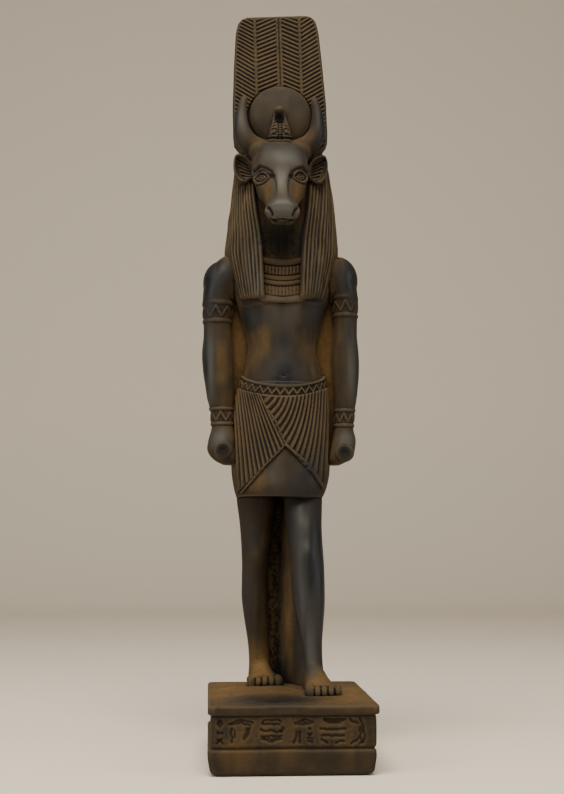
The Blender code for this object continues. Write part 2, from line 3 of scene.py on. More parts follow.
import bpy
import numpy as np
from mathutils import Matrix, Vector


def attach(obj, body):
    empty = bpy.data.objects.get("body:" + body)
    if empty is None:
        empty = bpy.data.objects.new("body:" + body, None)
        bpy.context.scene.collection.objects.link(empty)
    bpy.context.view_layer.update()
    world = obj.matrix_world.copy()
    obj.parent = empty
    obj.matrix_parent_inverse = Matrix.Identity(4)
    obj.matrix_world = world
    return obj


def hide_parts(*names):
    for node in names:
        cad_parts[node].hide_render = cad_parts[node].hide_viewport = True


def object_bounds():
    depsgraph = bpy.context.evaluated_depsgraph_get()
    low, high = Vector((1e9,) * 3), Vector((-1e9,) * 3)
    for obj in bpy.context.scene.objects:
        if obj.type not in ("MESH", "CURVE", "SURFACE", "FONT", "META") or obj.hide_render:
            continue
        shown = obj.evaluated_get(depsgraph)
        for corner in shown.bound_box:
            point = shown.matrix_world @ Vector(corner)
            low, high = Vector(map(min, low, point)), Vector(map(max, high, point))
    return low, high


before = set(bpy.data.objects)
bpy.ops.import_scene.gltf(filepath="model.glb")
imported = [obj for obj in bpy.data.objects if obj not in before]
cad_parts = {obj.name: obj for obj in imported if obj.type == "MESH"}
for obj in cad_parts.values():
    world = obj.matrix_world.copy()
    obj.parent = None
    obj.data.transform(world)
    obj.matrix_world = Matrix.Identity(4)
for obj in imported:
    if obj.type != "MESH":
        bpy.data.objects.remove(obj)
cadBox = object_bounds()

# The statue is one casting in stone. Its forms are worked out as closed surfaces and melted into a skin,
# as a mould would show them, and then its fine lines are cut into that skin. The skin comes in five parts
# that run into one another inside the stone, so that each can be fine enough for its carving.
# Shapes are in figure millimetres: right (as the viewer sees it), forward, and up from the soles.
statue = {
    "plinthHeight": 32.5,
    "setBack": 2.0,
    "offset": -2.0,
    "unitsTall": 366.0,
    # part: how far apart its skin's points are, and the triangles it may have
    "parts": {
        "castPlinth": (0.4, 140000),
        "castSupports": (0.5, 60000),
        "castLegsAndKilt": (0.3, 197000),
        "castTorso": (0.32, 197000),
        "castHead": (0.3, 199000),
    },
}
boxLow, boxHigh = (np.array(corner) * 1000 for corner in cadBox)
unit = (boxHigh[2] - boxLow[2] - statue["plinthHeight"]) / statue["unitsTall"]
plinthDepth = boxHigh[1] - boxLow[1]
backPlane = boxHigh[1] - statue["setBack"]
plinthFront = backPlane - boxLow[1]


def toRoom(points):
    # figure millimetres to metres in the statue's frame, where the figure faces -Y
    right, forward, up = points.T
    room = [statue["offset"] + right * unit, backPlane - forward * unit, statue["plinthHeight"] + up * unit]
    return np.stack(room, axis=1) / 1000


def say(words):
    print("statue:", words, flush=True)


def newObject(name, data):
    # an object in the scene that shows the data
    made = bpy.data.objects.new(name, data)
    bpy.context.scene.collection.objects.link(made)
    return made


def takeMesh(made):
    # the object's mesh as its modifier leaves it. The object itself goes
    result = bpy.data.meshes.new_from_object(made.evaluated_get(bpy.context.evaluated_depsgraph_get()))
    mesh = made.data
    bpy.data.objects.remove(made)
    bpy.data.meshes.remove(mesh)
    return result


shellPoints = {}
shellFaces = {}


def startPart(name):
    # the closed surfaces that are kept from here on are melted into this part
    shellPoints[name] = []
    shellFaces[name] = []


def keepShell(points, faces):
    # adds one closed surface to the part in hand
    name = list(shellPoints)[-1]
    start = sum(len(done) for done in shellPoints[name])
    shellPoints[name].append(np.asarray(points, float).reshape(-1, 3))
    shellFaces[name].extend([[start + corner for corner in face] for face in faces])


def smoothRows(rows, count):
    # a Catmull-Rom curve through the rows, read at `count` even steps
    rows = np.array(rows, float)
    ends = np.vstack([2 * rows[0] - rows[1], rows, 2 * rows[-1] - rows[-2]])
    at = np.linspace(0, len(rows) - 1, count)
    first = np.minimum(at.astype(int), len(rows) - 2)
    t = (at - first)[:, None]
    a, b, c, d = (ends[first + k] for k in range(4))
    return 0.5 * (2 * b + (c - a) * t + (2 * a - 5 * b + 4 * c - d) * t**2 + (3 * b - a - 3 * c + d) * t**3)


def softStep(low, high, value):
    # 0 below low, 1 above high, and 3t^2 - 2t^3 between them
    t = np.clip((value - low) / (high - low), 0, 1)
    return t * t * (3 - 2 * t)


def superellipse(halfWidth, halfDepth, power, turn):
    # cos and sin of the turn, each raised to 2/power with its sign kept: power 2 is an ellipse
    c, s = np.cos(turn), np.sin(turn)
    return halfWidth * np.sign(c) * abs(c) ** (2 / power), halfDepth * np.sign(s) * abs(s) ** (2 / power)


def fullTurn(around):
    # even angles once round
    return np.arange(around) * 2 * math.pi / around


def stack(rings):
    # a closed surface through a stack of closed rings, with a flat face on each end
    rings = np.asarray(rings, float)
    levels, around = rings.shape[:2]
    k, i = np.meshgrid(np.arange(levels - 1), np.arange(around), indexing="ij")
    j = (i + 1) % around
    quads = np.stack([k * around + i, k * around + j, (k + 1) * around + j, (k + 1) * around + i], axis=-1)
    last = (levels - 1) * around
    faces = quads.reshape(-1, 4).tolist()
    faces += [list(range(around))[::-1], list(range(last, last + around))]
    keepShell(rings, faces)


def hoop(rings):
    # a closed surface through rings that come round to the first again, like a bangle
    rings = np.asarray(rings, float)
    levels, around = rings.shape[:2]
    k, i = np.meshgrid(np.arange(levels), np.arange(around), indexing="ij")
    n, j = (k + 1) % levels, (i + 1) % around
    quads = np.stack([k * around + i, k * around + j, n * around + j, n * around + i], axis=-1)
    keepShell(rings, quads.reshape(-1, 4).tolist())


def slab(front, back):
    # a closed surface between a front grid and a back grid of the same size
    front, back = np.asarray(front, float), np.asarray(back, float)
    rows, columns = front.shape[:2]
    size = rows * columns
    k, i = np.meshgrid(np.arange(rows - 1), np.arange(columns - 1), indexing="ij")
    here = k * columns + i
    quads = np.stack([here, here + 1, here + columns + 1, here + columns], axis=-1).reshape(-1, 4)
    grid = np.arange(size).reshape(rows, columns)
    rim = np.concatenate([grid[0, :-1], grid[:-1, -1], grid[-1, :0:-1], grid[:0:-1, 0]])
    following = np.roll(rim, -1)
    edge = np.stack([following, rim, size + rim, size + following], axis=-1)
    faces = np.vstack([quads, size + quads[:, ::-1], edge])
    keepShell(np.vstack([front.reshape(-1, 3), back.reshape(-1, 3)]), faces.tolist())


def upright(rows, around, count, power=2.2):
    # level superellipses up a limb. Rows: up, middle right, middle forward, half width, half depth
    up, x, forward, halfWidth, halfDepth = smoothRows(rows, count).T[:, :, None]
    right, front = superellipse(halfWidth, halfDepth, power, fullTurn(around)[None, :])
    stack(np.stack([x + right, forward + front, up + 0 * right], axis=-1))


def sweep(rows, around, count, flat=1.0, power=2.0):
    # a round section carried along a curve. Rows: right, forward, up, radius. `flat` thins it front to back
    rows = smoothRows(rows, count)
    middle, radius = rows[:, :3], rows[:, 3]
    along = np.gradient(middle, axis=0)
    along /= np.linalg.norm(along, axis=1)[:, None]
    ahead = np.array([0.0, 1.0, 0.0]) - along * along[:, 1:2]
    ahead /= np.linalg.norm(ahead, axis=1)[:, None]
    across = np.cross(along, ahead)
    c, s = superellipse(1.0, flat, power, fullTurn(around))
    ring = c[None, :, None] * across[:, None] + s[None, :, None] * ahead[:, None]
    stack(middle[:, None] + ring * radius[:, None, None])


def pebble(middle, radii, around=40, count=26):
    # an ellipsoid with its poles left and right
    turn = np.linspace(0.04, math.pi - 0.04, count)[:, None]
    angle = fullTurn(around)[None, :]
    right = middle[0] - radii[0] * np.cos(turn) + 0 * angle
    forward = middle[1] + radii[1] * np.sin(turn) * np.cos(angle)
    up = middle[2] + radii[2] * np.sin(turn) * np.sin(angle)
    stack(np.stack([right, forward, up], axis=-1))


def evenly(path, count):
    # points at equal steps of length along a path
    path = np.asarray(path, float)
    reach = np.concatenate([[0], np.cumsum(np.linalg.norm(np.diff(path, axis=0), axis=1))])
    at = np.linspace(0, reach[-1], count)
    return np.stack([np.interp(at, reach, column) for column in path.T], axis=1)


plinth = {
    "width": 80.4,
    "capThickness": 4.7,
    "capOverhang": 1.4,
    "bandHeight": 15.2,
    "corner": 3.0,
    "footRounding": 2.8,
    "footTuck": 1.7,
    "footDrift": 0.7,
    "moundRise": 1.9,
    "unevenness": 0.16,
}


def roundedRectangle(halfWidth, halfDepth, corner, around):
    # a rectangle whose corners are quarter circles, with points at equal steps of length
    quarter = np.linspace(0, math.pi / 2, 9)
    arcs = []
    for turn, (sx, sy) in enumerate(((1, 1), (-1, 1), (-1, -1), (1, -1))):
        angle = quarter + turn * math.pi / 2
        x = sx * (halfWidth - corner) + corner * np.cos(angle)
        y = sy * (halfDepth - corner) + corner * np.sin(angle)
        arcs.append(np.stack([x, y], axis=1))
    outline = np.vstack(arcs + [arcs[0][:1]])
    return evenly(outline, around + 1)[:-1]


def buildPlinth():
    # a profile of inset and height carried round a rounded rectangle, wavering a little as hand-cut edges do
    halfWidth, halfDepth = plinth["width"] / 2, plinthDepth / 2
    capBottom = statue["plinthHeight"] - plinth["capThickness"]
    bandBottom = capBottom - plinth["bandHeight"]
    top = statue["plinthHeight"]
    over = plinth["capOverhang"]
    turn = np.linspace(0, math.pi / 2, 12)
    foot = plinth["footRounding"]
    profile = [(over * 0.6 + foot * (1 - math.sin(a)), foot * (1 - math.cos(a))) for a in turn]
    profile += [(over * 0.6, 6.0), (over * 0.5, 9.0), (over * 0.6, bandBottom - 1.4)]
    profile += [(over * 0.75, bandBottom - 0.9), (over + 0.5, bandBottom - 0.5), (over + 0.9, bandBottom)]
    profile += [(over + 0.4, bandBottom + 0.6), (over + 0.1, bandBottom + 1.4), (over, bandBottom + 4)]
    profile += [(over, capBottom - 3), (over + 0.1, capBottom - 0.9), (over + 0.9, capBottom - 0.1)]
    profile += [(0.7, capBottom + 0.05), (0.25, capBottom + 0.35), (0.0, capBottom + 0.9), (0.0, top - 1.2)]
    profile += [(0.2, top - 0.55), (0.7, top - 0.1), (1.4, top)]
    rings = []
    for inset, height in profile:
        corner = max(plinth["corner"] - inset * 0.5, 0.6)
        tuck = plinth["footTuck"] * (1 - min(height / 10, 1)) ** 2
        flat = roundedRectangle(halfWidth - inset - tuck, halfDepth - inset, corner, 560)
        flat[:, 0] -= plinth["footDrift"] * (height < bandBottom)
        rings.append(np.column_stack([flat, np.full(len(flat), height)]))
    for share in np.linspace(0.96, 0.04, 24):
        rise = plinth["moundRise"] * (1 - share**2) ** 1.5
        corner = share * (plinth["corner"] + (1 - share) * 6)
        flat = roundedRectangle(share * halfWidth, share * halfDepth, max(corner, 0.1), 560)
        flat[:, 1] += (1 - share) * halfDepth * 0.4
        rings.append(np.column_stack([flat, np.full(len(flat), top + rise)]))
    rings = np.array(rings)
    wander = lumps(rings.reshape(-1, 3) * [1, 1, 0], 9.0, 5).reshape(rings.shape[:2])
    rings[..., 2] += plinth["unevenness"] * wander * softStep(2, 8, rings[..., 2])
    right, back, up = np.moveaxis(rings, -1, 0)
    middle = (boxHigh[1] + boxLow[1]) / 2
    forward = backPlane - (back + middle)
    stack(np.stack([right - statue["offset"], forward, up - statue["plinthHeight"]], axis=-1) / unit)


def lumps(points, size, seed):
    # smooth random hills: random heights on a cubic lattice `size` apart, blended between the eight nearest
    heights = np.random.default_rng(seed).uniform(-1, 1, (64, 64, 64))
    cell = np.asarray(points) / size + 500
    base = np.floor(cell).astype(int)
    t = cell - base
    t = t * t * (3 - 2 * t)
    total = np.zeros(len(cell))
    for corner in np.ndindex(2, 2, 2):
        weight = np.prod(np.where(corner, t, 1 - t), axis=1)
        total += weight * heights[tuple(((base + corner) % 64).T)]
    return total


supports = {
    "pillarWidth": 28.0,
    "pillarDepth": 14.0,
    "pillarTop": 214.0,
    "wallWidth": 63.0,
    "wallBack": 8.0,
    "wallFront": 19.8,
    "wallBottom": 118.0,
    "wallTop": 226.0,
    # the web: its two corners at the pillar, how far right the two on the leg are, and its ends
    "webCorners": [(-1.5, 12.0), (12.5, 12.0)],
    "webRight": (17.0, 13.2),
    "webTop": 103.0,
    "webBottom": -1.5,
}

# Up, middle right, middle forward, half width, half depth.
legs = {
    "rear": [
        (108, -12.6, 18.0, 11.0, 10.0),
        (99, -13.0, 18.0, 10.4, 9.8),
        (82, -13.0, 18.2, 8.4, 8.8),
        (66, -13.5, 18.5, 7.0, 7.9),
        (55, -13.6, 17.5, 6.9, 7.8),
        (44, -13.5, 16.6, 6.8, 8.3),
        (33, -12.6, 16.4, 6.2, 7.5),
        (23, -11.6, 16.6, 5.6, 6.4),
        (14, -11.0, 16.8, 5.5, 6.1),
        (6, -11.0, 17.5, 5.9, 7.0),
        (-1, -10.9, 18.0, 6.4, 7.6),
    ],
    "front": [
        (108, 11.5, 21.0, 10.4, 9.0),
        (99, 11.7, 24.4, 10.3, 9.2),
        (82, 11.9, 32.0, 9.2, 9.8),
        (66, 12.8, 37.0, 8.9, 9.3),
        (55, 13.3, 38.5, 8.7, 9.0),
        (44, 13.7, 39.6, 8.2, 9.2),
        (34, 14.4, 41.5, 6.6, 8.3),
        (25, 15.0, 43.5, 5.2, 6.8),
        (17, 15.5, 45.0, 4.6, 6.1),
        (10, 15.9, 46.5, 4.7, 6.5),
        (3, 16.1, 48.0, 5.4, 7.2),
        (-1, 16.2, 48.4, 5.8, 7.6),
    ],
}
# Along the foot: share of its length, half width, height.
feet = {
    "section": [
        (0.0, 3.6, 6.0),
        (0.14, 5.4, 11.0),
        (0.36, 5.7, 12.4),
        (0.56, 6.5, 9.4),
        (0.76, 7.9, 6.4),
        (0.9, 8.3, 4.4),
    ],
    "toes": 5,
    "toeSpread": 13.6,
    "bigToe": 6.5,
    # heel and toe as right and forward, how far the toes turn, the big toe's side, the sole's height, and
    # from how far forward the gaps between the toes are cut
    "rear": {"heel": (-11.2, 11.0), "toe": (-9.4, 36.0), "turned": 1.0, "inner": 1, "lift": 2.4, "gaps": 26},
    "front": {"heel": (15.2, 40.0), "toe": (17.4, 75.5), "turned": 0.8, "inner": -1, "lift": 1.5, "gaps": 62},
    "gap": {"width": 0.8, "depth": 0.35, "low": -1.0, "high": 2.6},
}


def buildPost(halfWidth, back, front, levels, corner=1.2):
    # an upright block: a rounded rectangle at each level, its inset given with its height
    rings = []
    for up, inset in levels:
        flat = roundedRectangle(halfWidth - inset, (front - back) / 2 - inset, corner, 160)
        rings.append(np.column_stack([flat[:, 0], flat[:, 1] + (front + back) / 2, np.full(160, up)]))
    stack(rings)


def buildSupports():
    # the pillar behind, the thin wall behind the arms, and the web beside the advanced leg
    buildPost(
        supports["pillarWidth"] / 2,
        0.0,
        supports["pillarDepth"],
        [(-2.5, 0), (supports["pillarTop"] - 1, 0), (supports["pillarTop"], 1)],
    )
    low, high = supports["wallBottom"], supports["wallTop"]
    buildPost(
        supports["wallWidth"] / 2,
        supports["wallBack"],
        supports["wallFront"],
        [(low, 2.0), (low + 4, 0), (high - 12, 0), (high, 4.5)],
    )
    # the web: a four-sided sheet from the pillar to the middle of the advanced leg, at every height
    rows = smoothRows(legs["front"], 40)[3:]
    rows[0, 0], rows[-1, 0] = supports["webTop"], supports["webBottom"]
    rings = []
    for up, _, middleOfLeg, _, _ in rows:
        corners = supports["webCorners"] + [(right, middleOfLeg) for right in supports["webRight"]]
        rings.append([(right, forward, up) for right, forward in corners])
    stack(rings)


def toeMiddle(foot, index):
    # how far right a toe lies, counted from the big toe, or a gap between two at a half
    along = feet["bigToe"] - feet["toeSpread"] * index / (feet["toes"] - 1)
    return foot["toe"][0] + foot["turned"] + foot["inner"] * along


def buildFoot(foot):
    # superellipses from heel to ball, and toes as rounded sausages side by side
    heel, toe, turned, inner, lift = (foot[key] for key in ("heel", "toe", "turned", "inner", "lift"))
    length = toe[1] - heel[1]
    share, halfWidth, height = smoothRows(feet["section"], 40).T[:, :, None]
    right, up = superellipse(halfWidth, height, 2.3, fullTurn(64)[None, :])
    x = heel[0] + (toe[0] - heel[0]) * share + turned * share**2
    stack(np.stack([x + right, heel[1] + length * share + 0 * right, lift + up], axis=-1))
    for index in range(feet["toes"]):
        share = index / (feet["toes"] - 1)
        x = toeMiddle(foot, index)
        reach = toe[1] - 2.6 - 3.6 * share**1.7
        size = 2.5 if index == 0 else 2.05 - 0.1 * share
        tall = 2.4 - 0.5 * share
        rows = [
            (x - inner * 0.6, reach - 7, lift + tall * 0.75, size * 1.05),
            (x - inner * 0.2, reach - 2.5, lift + tall * 0.72, size * 0.98),
            (x, reach + 1.0, lift + tall * 0.55, size * 1.06),
            (x, reach + 2.8, lift + tall * 0.36, size * 0.8),
            (x, reach + 3.6, lift + tall * 0.25, size * 0.35),
        ]
        layFlat(rows, 24, 16, 1.15)


def layFlat(rows, around, count, tall):
    # rings across the line of sight along a curve that runs forward. Rows: right, forward, up, radius
    x, forward, up, radius = smoothRows(rows, count).T[:, :, None]
    right, rise = superellipse(radius, radius * tall, 2.2, fullTurn(around)[None, :])
    stack(np.stack([x + right, forward + 0 * right, up + rise], axis=-1))


def buildLegs():
    # two limbs, wide at the hip and narrow at the ankle, and two feet
    upright(legs["rear"], 110, 190)
    upright(legs["front"], 120, 190)
    buildFoot(feet["rear"])
    buildFoot(feet["front"])


# Levels: up, middle, half width, front, back.
kilt = {
    "levels": [
        (160, 1.3, 22.9, 35.3, 7.0),
        (152, 0.8, 24.3, 36.0, 5.0),
        (140, 0.2, 25.8, 37.0, 4.0),
        (126, 0.0, 26.4, 38.2, 4.0),
        (113, 0.0, 26.3, 39.0, 4.0),
        (105, -0.2, 25.0, 39.2, 5.0),
        (99.3, -0.6, 23.2, 38.6, 6.0),
    ],
    "power": 2.4,
    "side": 25.2,
    "pleatsRight": 12,
    "pleatsLeft": 16,
    "pleatDepth": 1.3,
    "pleatRise": 0.3,
    "backing": -2.5,
    "flapTop": (-10.6, 149.8),
    "apex": (1.6, 126.2),
    "apronRightHand": (-21.0, 101.0),
    "apronLeftHand": (21.6, 103.4),
}
# the first of a pair is at the belt's lower edge, the second at its upper one
belt = {
    "bottom": 156.6,
    "deep": 8.3,
    "dip": (5.9, 6.9),
    "middle": (1.0, 1.6),
    "halfWidth": (23.3, 21.9),
    "halfDepth": (15.4, 14.9),
    "zigzag": 4.4,
    "forward": 20.6,
    "edgeHalfWidth": 24.0,
}
# the face of belt, armbands and bracelets: how far the rolls, the line and the ground stand out or in
bandFace = {"roll": 0.55, "step": 0.25, "line": 1.45, "ground": 0.65, "beltLine": 0.24, "armLine": 0.42}


def frontAndBack(rows, count):
    # rows of up, middle, half width, front and back, as rows that upright() takes
    up, middle, halfWidth, front, back = smoothRows(rows, count).T
    return np.stack([up, middle, (front + back) / 2, halfWidth, (front - back) / 2], axis=1)


def onKilt(x, up, proud):
    # the kilt's front at a place seen from the front, standing out by `proud`
    table = np.array(kilt["levels"])[::-1]
    middle, halfWidth, front, back = (np.interp(up, table[:, 0], table[:, k]) for k in (1, 2, 3, 4))
    power = kilt["power"]
    angle = np.arcsin(np.clip(np.abs(x - middle) / halfWidth, 0, 0.995) ** (power / 2))
    right = middle + np.sign(x - middle) * (halfWidth + proud) * np.sin(angle) ** (2 / power)
    forward = (front + back) / 2 + ((front - back) / 2 + proud) * np.cos(angle) ** (2 / power)
    return np.stack([right, forward, up + 0 * x], axis=-1)


def beltEdge(x, hipHeight):
    # the belt's lower edge seen from the front: a parabola that hangs lowest in the middle
    return hipHeight - belt["dip"][0] * (1 - (x / belt["edgeHalfWidth"]) ** 2)


def pleated(tops, controls, ends, pleats, seed):
    # folds along quadratic curves from the tops to the ends: each is half a sine wave across
    share = np.linspace(0, 1, len(tops))
    uneven = np.random.default_rng(seed).uniform(0.8, 1.1, pleats)
    height = np.abs(np.sin(math.pi * share * pleats)) ** 1.25
    height *= uneven[np.minimum((share * pleats).astype(int), pleats - 1)]
    v = np.linspace(0, 1, 90)[:, None, None]
    lines = (1 - v) ** 2 * tops + 2 * v * (1 - v) * controls + v**2 * ends
    x, up = lines[..., 0], lines[..., 1]
    front = onKilt(x, up, kilt["pleatRise"] + kilt["pleatDepth"] * np.broadcast_to(height, x.shape))
    slab(front, onKilt(x * 0.97, up, kilt["backing"]))


def ropeOnKilt(path, radius, proud, count=70):
    # a raised edge: a round section along a line drawn on the kilt's front
    x, up = evenly(path, count).T
    sweep(np.column_stack([onKilt(x, up, proud), np.full(count, radius)]), 14, count)


def buildKilt():
    # the kilt's body, two pleated sides that part over a plain apron, and the raised edges between them
    upright(frontAndBack(kilt["levels"], 60), 220, 60, kilt["power"])
    side, flapTop, apex = kilt["side"], kilt["flapTop"], kilt["apex"]
    rightHand, leftHand = kilt["apronRightHand"], kilt["apronLeftHand"]

    share = np.linspace(0, 1, kilt["pleatsRight"] * 9 + 1)
    topX = -side + share * (flapTop[0] + side)
    tops = np.stack([topX, beltEdge(topX, belt["bottom"] + 1.0)], axis=1)
    ends = np.array(rightHand) + share[:, None] * (np.array(apex) - rightHand)
    ends[:, 0] -= 2.2 * (1 - share) ** 2
    pleated(tops, (tops + ends) / 2 - [0.0, 1.0], ends, kilt["pleatsRight"], 11)

    share = np.linspace(0, 1, kilt["pleatsLeft"] * 9 + 1)
    topX = flapTop[0] + 1.6 + share**0.72 * (side - flapTop[0] - 1.6)
    tops = np.stack([topX, beltEdge(topX, belt["bottom"] + 1.0)], axis=1)
    path = evenly([flapTop, apex, leftHand], 400)
    at = share * 399
    ends = np.stack([np.interp(at, np.arange(400), column) for column in path.T], axis=1)
    ends[:, 0] += 2.2 * share**6
    controlRight = 0.8 * tops[:, 0] + 0.2 * ends[:, 0]
    controlUp = ends[:, 1] + 0.42 * (tops[:, 1] - ends[:, 1])
    pleated(tops, np.stack([controlRight, controlUp], axis=1), ends, kilt["pleatsLeft"], 12)

    ropeOnKilt([flapTop, (-3.4, 138.6), apex], 0.55, 0.75)
    ropeOnKilt([rightHand, (-9.0, 115.2), apex], 0.55, 0.45)
    ropeOnKilt([apex, (12.9, 116.2), leftHand], 0.7, 0.95)


def zigzag(along, across, period, width):
    # a raised zigzag line: how near a point of the strip is to a triangle wave, 1 on it and 0 past `width`
    wave = np.abs((along / period) % 1.0 * 2 - 1)
    slope = math.hypot(1.0, 2.0)
    return softStep(0, 1, 1 - np.abs(across - wave) / (width * slope))


def rimmed(share, along, period, lineWidth):
    # height of a band's face: a roll at each edge, and between them a zigzag line and a sunk ground
    near = np.minimum(share, 1 - share)
    rim = bandFace["roll"] * np.sqrt(np.clip(1 - ((near - 0.1) / 0.1) ** 2, 0, 1))
    inside = softStep(0.2, 0.27, near)
    line = zigzag(along, (share - 0.28) / 0.44, period, lineWidth)
    return rim - bandFace["step"] * (near > 0.19) + inside * (bandFace["line"] * line - bandFace["ground"])


def buildBelt():
    # a band carried round the hips, narrower above and hanging lower in front
    share = np.linspace(0, 1, 40)[None]
    ends = (belt[key] for key in ("halfWidth", "halfDepth", "middle", "dip"))
    wide, thick, middle, dip = (np.interp(share, (0, 1), pair) for pair in ends)
    angle = np.linspace(0, 2 * math.pi, 2001)
    outline = np.stack(superellipse(1.0, 1.0, kilt["power"], angle), axis=1)
    outline = evenly(outline * [wide.mean(), thick.mean()], 421)[:-1]
    length = np.arange(420)[:, None] * np.linalg.norm(outline[1] - outline[0])
    outline = outline / [wide.mean(), thick.mean()]
    turn = np.arctan2(outline[:, 1], outline[:, 0])[:, None]
    proud = 0.5 + rimmed(share, length, belt["zigzag"], bandFace["beltLine"])
    proud[:, [0, -1]] = -3.0
    away = outline / [wide.mean(), thick.mean()]
    away /= np.linalg.norm(away, axis=1)[:, None]
    x = middle + outline[:, :1] * wide + away[:, :1] * proud
    f = belt["forward"] + outline[:, 1:] * thick + away[:, 1:] * proud
    hang = dip * np.maximum(np.sin(turn), 0) ** 1.5
    hoop(np.stack([x, f, belt["bottom"] + share * belt["deep"] - hang + 0 * x], axis=-1))


# Up, middle, half width, front, back.
torso = [
    (234, 0.0, 11.0, 30.0, 10.0),
    (230, 0.0, 23.5, 31.0, 8.0),
    (223, 0.0, 29.5, 33.6, 6.0),
    (213, 0.3, 28.4, 36.0, 5.0),
    (203, 0.6, 24.6, 36.3, 5.0),
    (194, 0.7, 21.6, 35.4, 6.0),
    (181, 0.8, 18.5, 33.8, 8.0),
    (170, 1.0, 20.0, 34.4, 8.0),
    (162, 1.2, 21.7, 35.2, 7.0),
    (150, 0.8, 23.2, 35.0, 7.0),
]
# Up, middle right, middle forward, half width, half depth. Side -1 is the viewer's left, 1 the right.
arms = {
    "section": [
        (231.5, 21.5, 19.5, 7.4, 6.0),
        (227.5, 25.2, 19.8, 9.2, 9.0),
        (221.5, 28.9, 20.0, 9.9, 10.3),
        (214.5, 32.2, 20.2, 9.3, 10.4),
        (206.5, 34.5, 20.4, 7.8, 9.6),
        (195.5, 34.9, 20.6, 7.0, 8.8),
        (185.5, 34.6, 21.0, 7.1, 8.6),
        (176.5, 34.7, 21.6, 7.8, 8.8),
        (167.5, 34.6, 22.2, 7.7, 8.5),
        (159.5, 34.2, 22.8, 7.2, 7.8),
        (151.5, 33.7, 23.2, 6.5, 7.0),
        (143.5, 32.8, 23.4, 5.7, 6.5),
        (136.0, 32.4, 23.8, 5.7, 7.0),
        (130.0, 32.5, 24.6, 6.9, 8.6),
        (125.0, 32.3, 25.0, 7.3, 9.4),
        (121.5, 31.2, 25.0, 7.3, 9.0),
        (118.5, 29.4, 24.8, 6.2, 7.6),
        (116.2, 27.6, 24.4, 3.6, 5.0),
    ],
    "innerShift": 0.55,
    # how far both forearms stand over to the right: up, and how far
    "sway": [
        (118, 0.3),
        (125, 0.2),
        (130, 0.8),
        (136, 0.95),
        (143.5, 1.0),
        (151.5, 0.8),
        (159.5, 0.6),
        (176, 0.0),
    ],
    "armbands": {-1: (192.6, 204.7), 1: (196.3, 208.4)},
    "bracelets": {-1: (137.0, 146.9), 1: (136.3, 146.5)},
    "armbandZigzag": 6.2,
    "braceletZigzag": 5.0,
    "grips": {-1: (-31.0, 123.6), 1: (33.3, 122.6)},
    "gripRadius": 4.2,
    # middle, and half its size each way
    "shoulders": {-1: ((-31.4, 20, 215.0), (10.9, 10.5, 12.8)), 1: ((31.4, 20, 217.3), (11.0, 10.5, 13.4))},
}


def sway(up):
    # straight lines between the heights and shifts given
    heights, shifts = np.array(arms["sway"]).T
    return np.interp(up, heights, shifts)


def buildBand(side, low, high, period):
    # a bangle fitted to the arm: the arm's section, standing out by the band's face
    table = np.array(arms["section"])[::-1]
    share = np.linspace(0, 1, 44)[None]
    up = low + share * (high - low)
    x, f, halfWidth, halfDepth = (np.interp(up, table[:, 0], table[:, k]) for k in (1, 2, 3, 4))
    turn = fullTurn(220)[:, None]
    proud = rimmed(share, turn * halfWidth.mean(), period, bandFace["armLine"])
    proud[:, [0, -1]] = -2.0
    right = side * x + arms["innerShift"] + sway(up)
    right = right + (halfWidth - side * arms["innerShift"] + proud) * np.cos(turn)
    hoop(np.stack([right, f + (halfDepth + proud) * np.sin(turn), up + 0 * right], axis=-1))


def buildTorsoAndArms():
    # torso and arms as level superellipses, with a pebble for each fist and shoulder. The arms' inner
    # sides both sit a little to the right of where a mirror would put them
    upright(frontAndBack(torso, 120), 200, 120, 2.3)
    shift = arms["innerShift"]
    for side in (-1, 1):
        rows = [
            (up, side * x + shift + sway(up), f, halfWidth - side * shift, halfDepth)
            for up, x, f, halfWidth, halfDepth in arms["section"]
        ]
        upright(rows, 110, 230)
        buildBand(side, *arms["armbands"][side], arms["armbandZigzag"])
        buildBand(side, *arms["bracelets"][side], arms["braceletZigzag"])
        right, up = arms["grips"][side]
        pebble((right, 31.5, up), (5.4, 4.2, 5.2))
        pebble(*arms["shoulders"][side], 60, 50)


# Levels: up, half width, front, back, half width of the opening for face and throat.
wig = {
    "levels": [
        (204.6, 22.2, 41.2, 2.0, 10.3),
        (206.2, 23.6, 42.6, 0.0, 10.3),
        (213.0, 26.0, 42.6, -1.0, 10.4),
        (226.0, 29.8, 41.6, -1.5, 10.8),
        (232.0, 30.6, 41.0, -1.5, 11.2),
        (240.0, 29.7, 40.2, -1.5, 12.0),
        (253.0, 28.2, 38.0, -1.0, 14.0),
        (268.0, 26.4, 35.0, 0.5, 15.5),
        (280.0, 25.2, 31.5, 3.0, 15.5),
        (287.5, 23.2, 28.5, 6.0, 14.5),
        (291.8, 21.0, 26.5, 9.0, 13.0),
    ],
    "power": 2.6,
    "throat": 31.0,
    # how much further it reaches on the viewer's right: up, and how far
    "fuller": [(205, 0.0), (232, 0.8), (244, 1.4), (258, 2.1), (265, 2.2), (278, 1.7), (290, 1.0)],
    "strands": 70,
    "strandDepth": 1.1,
}


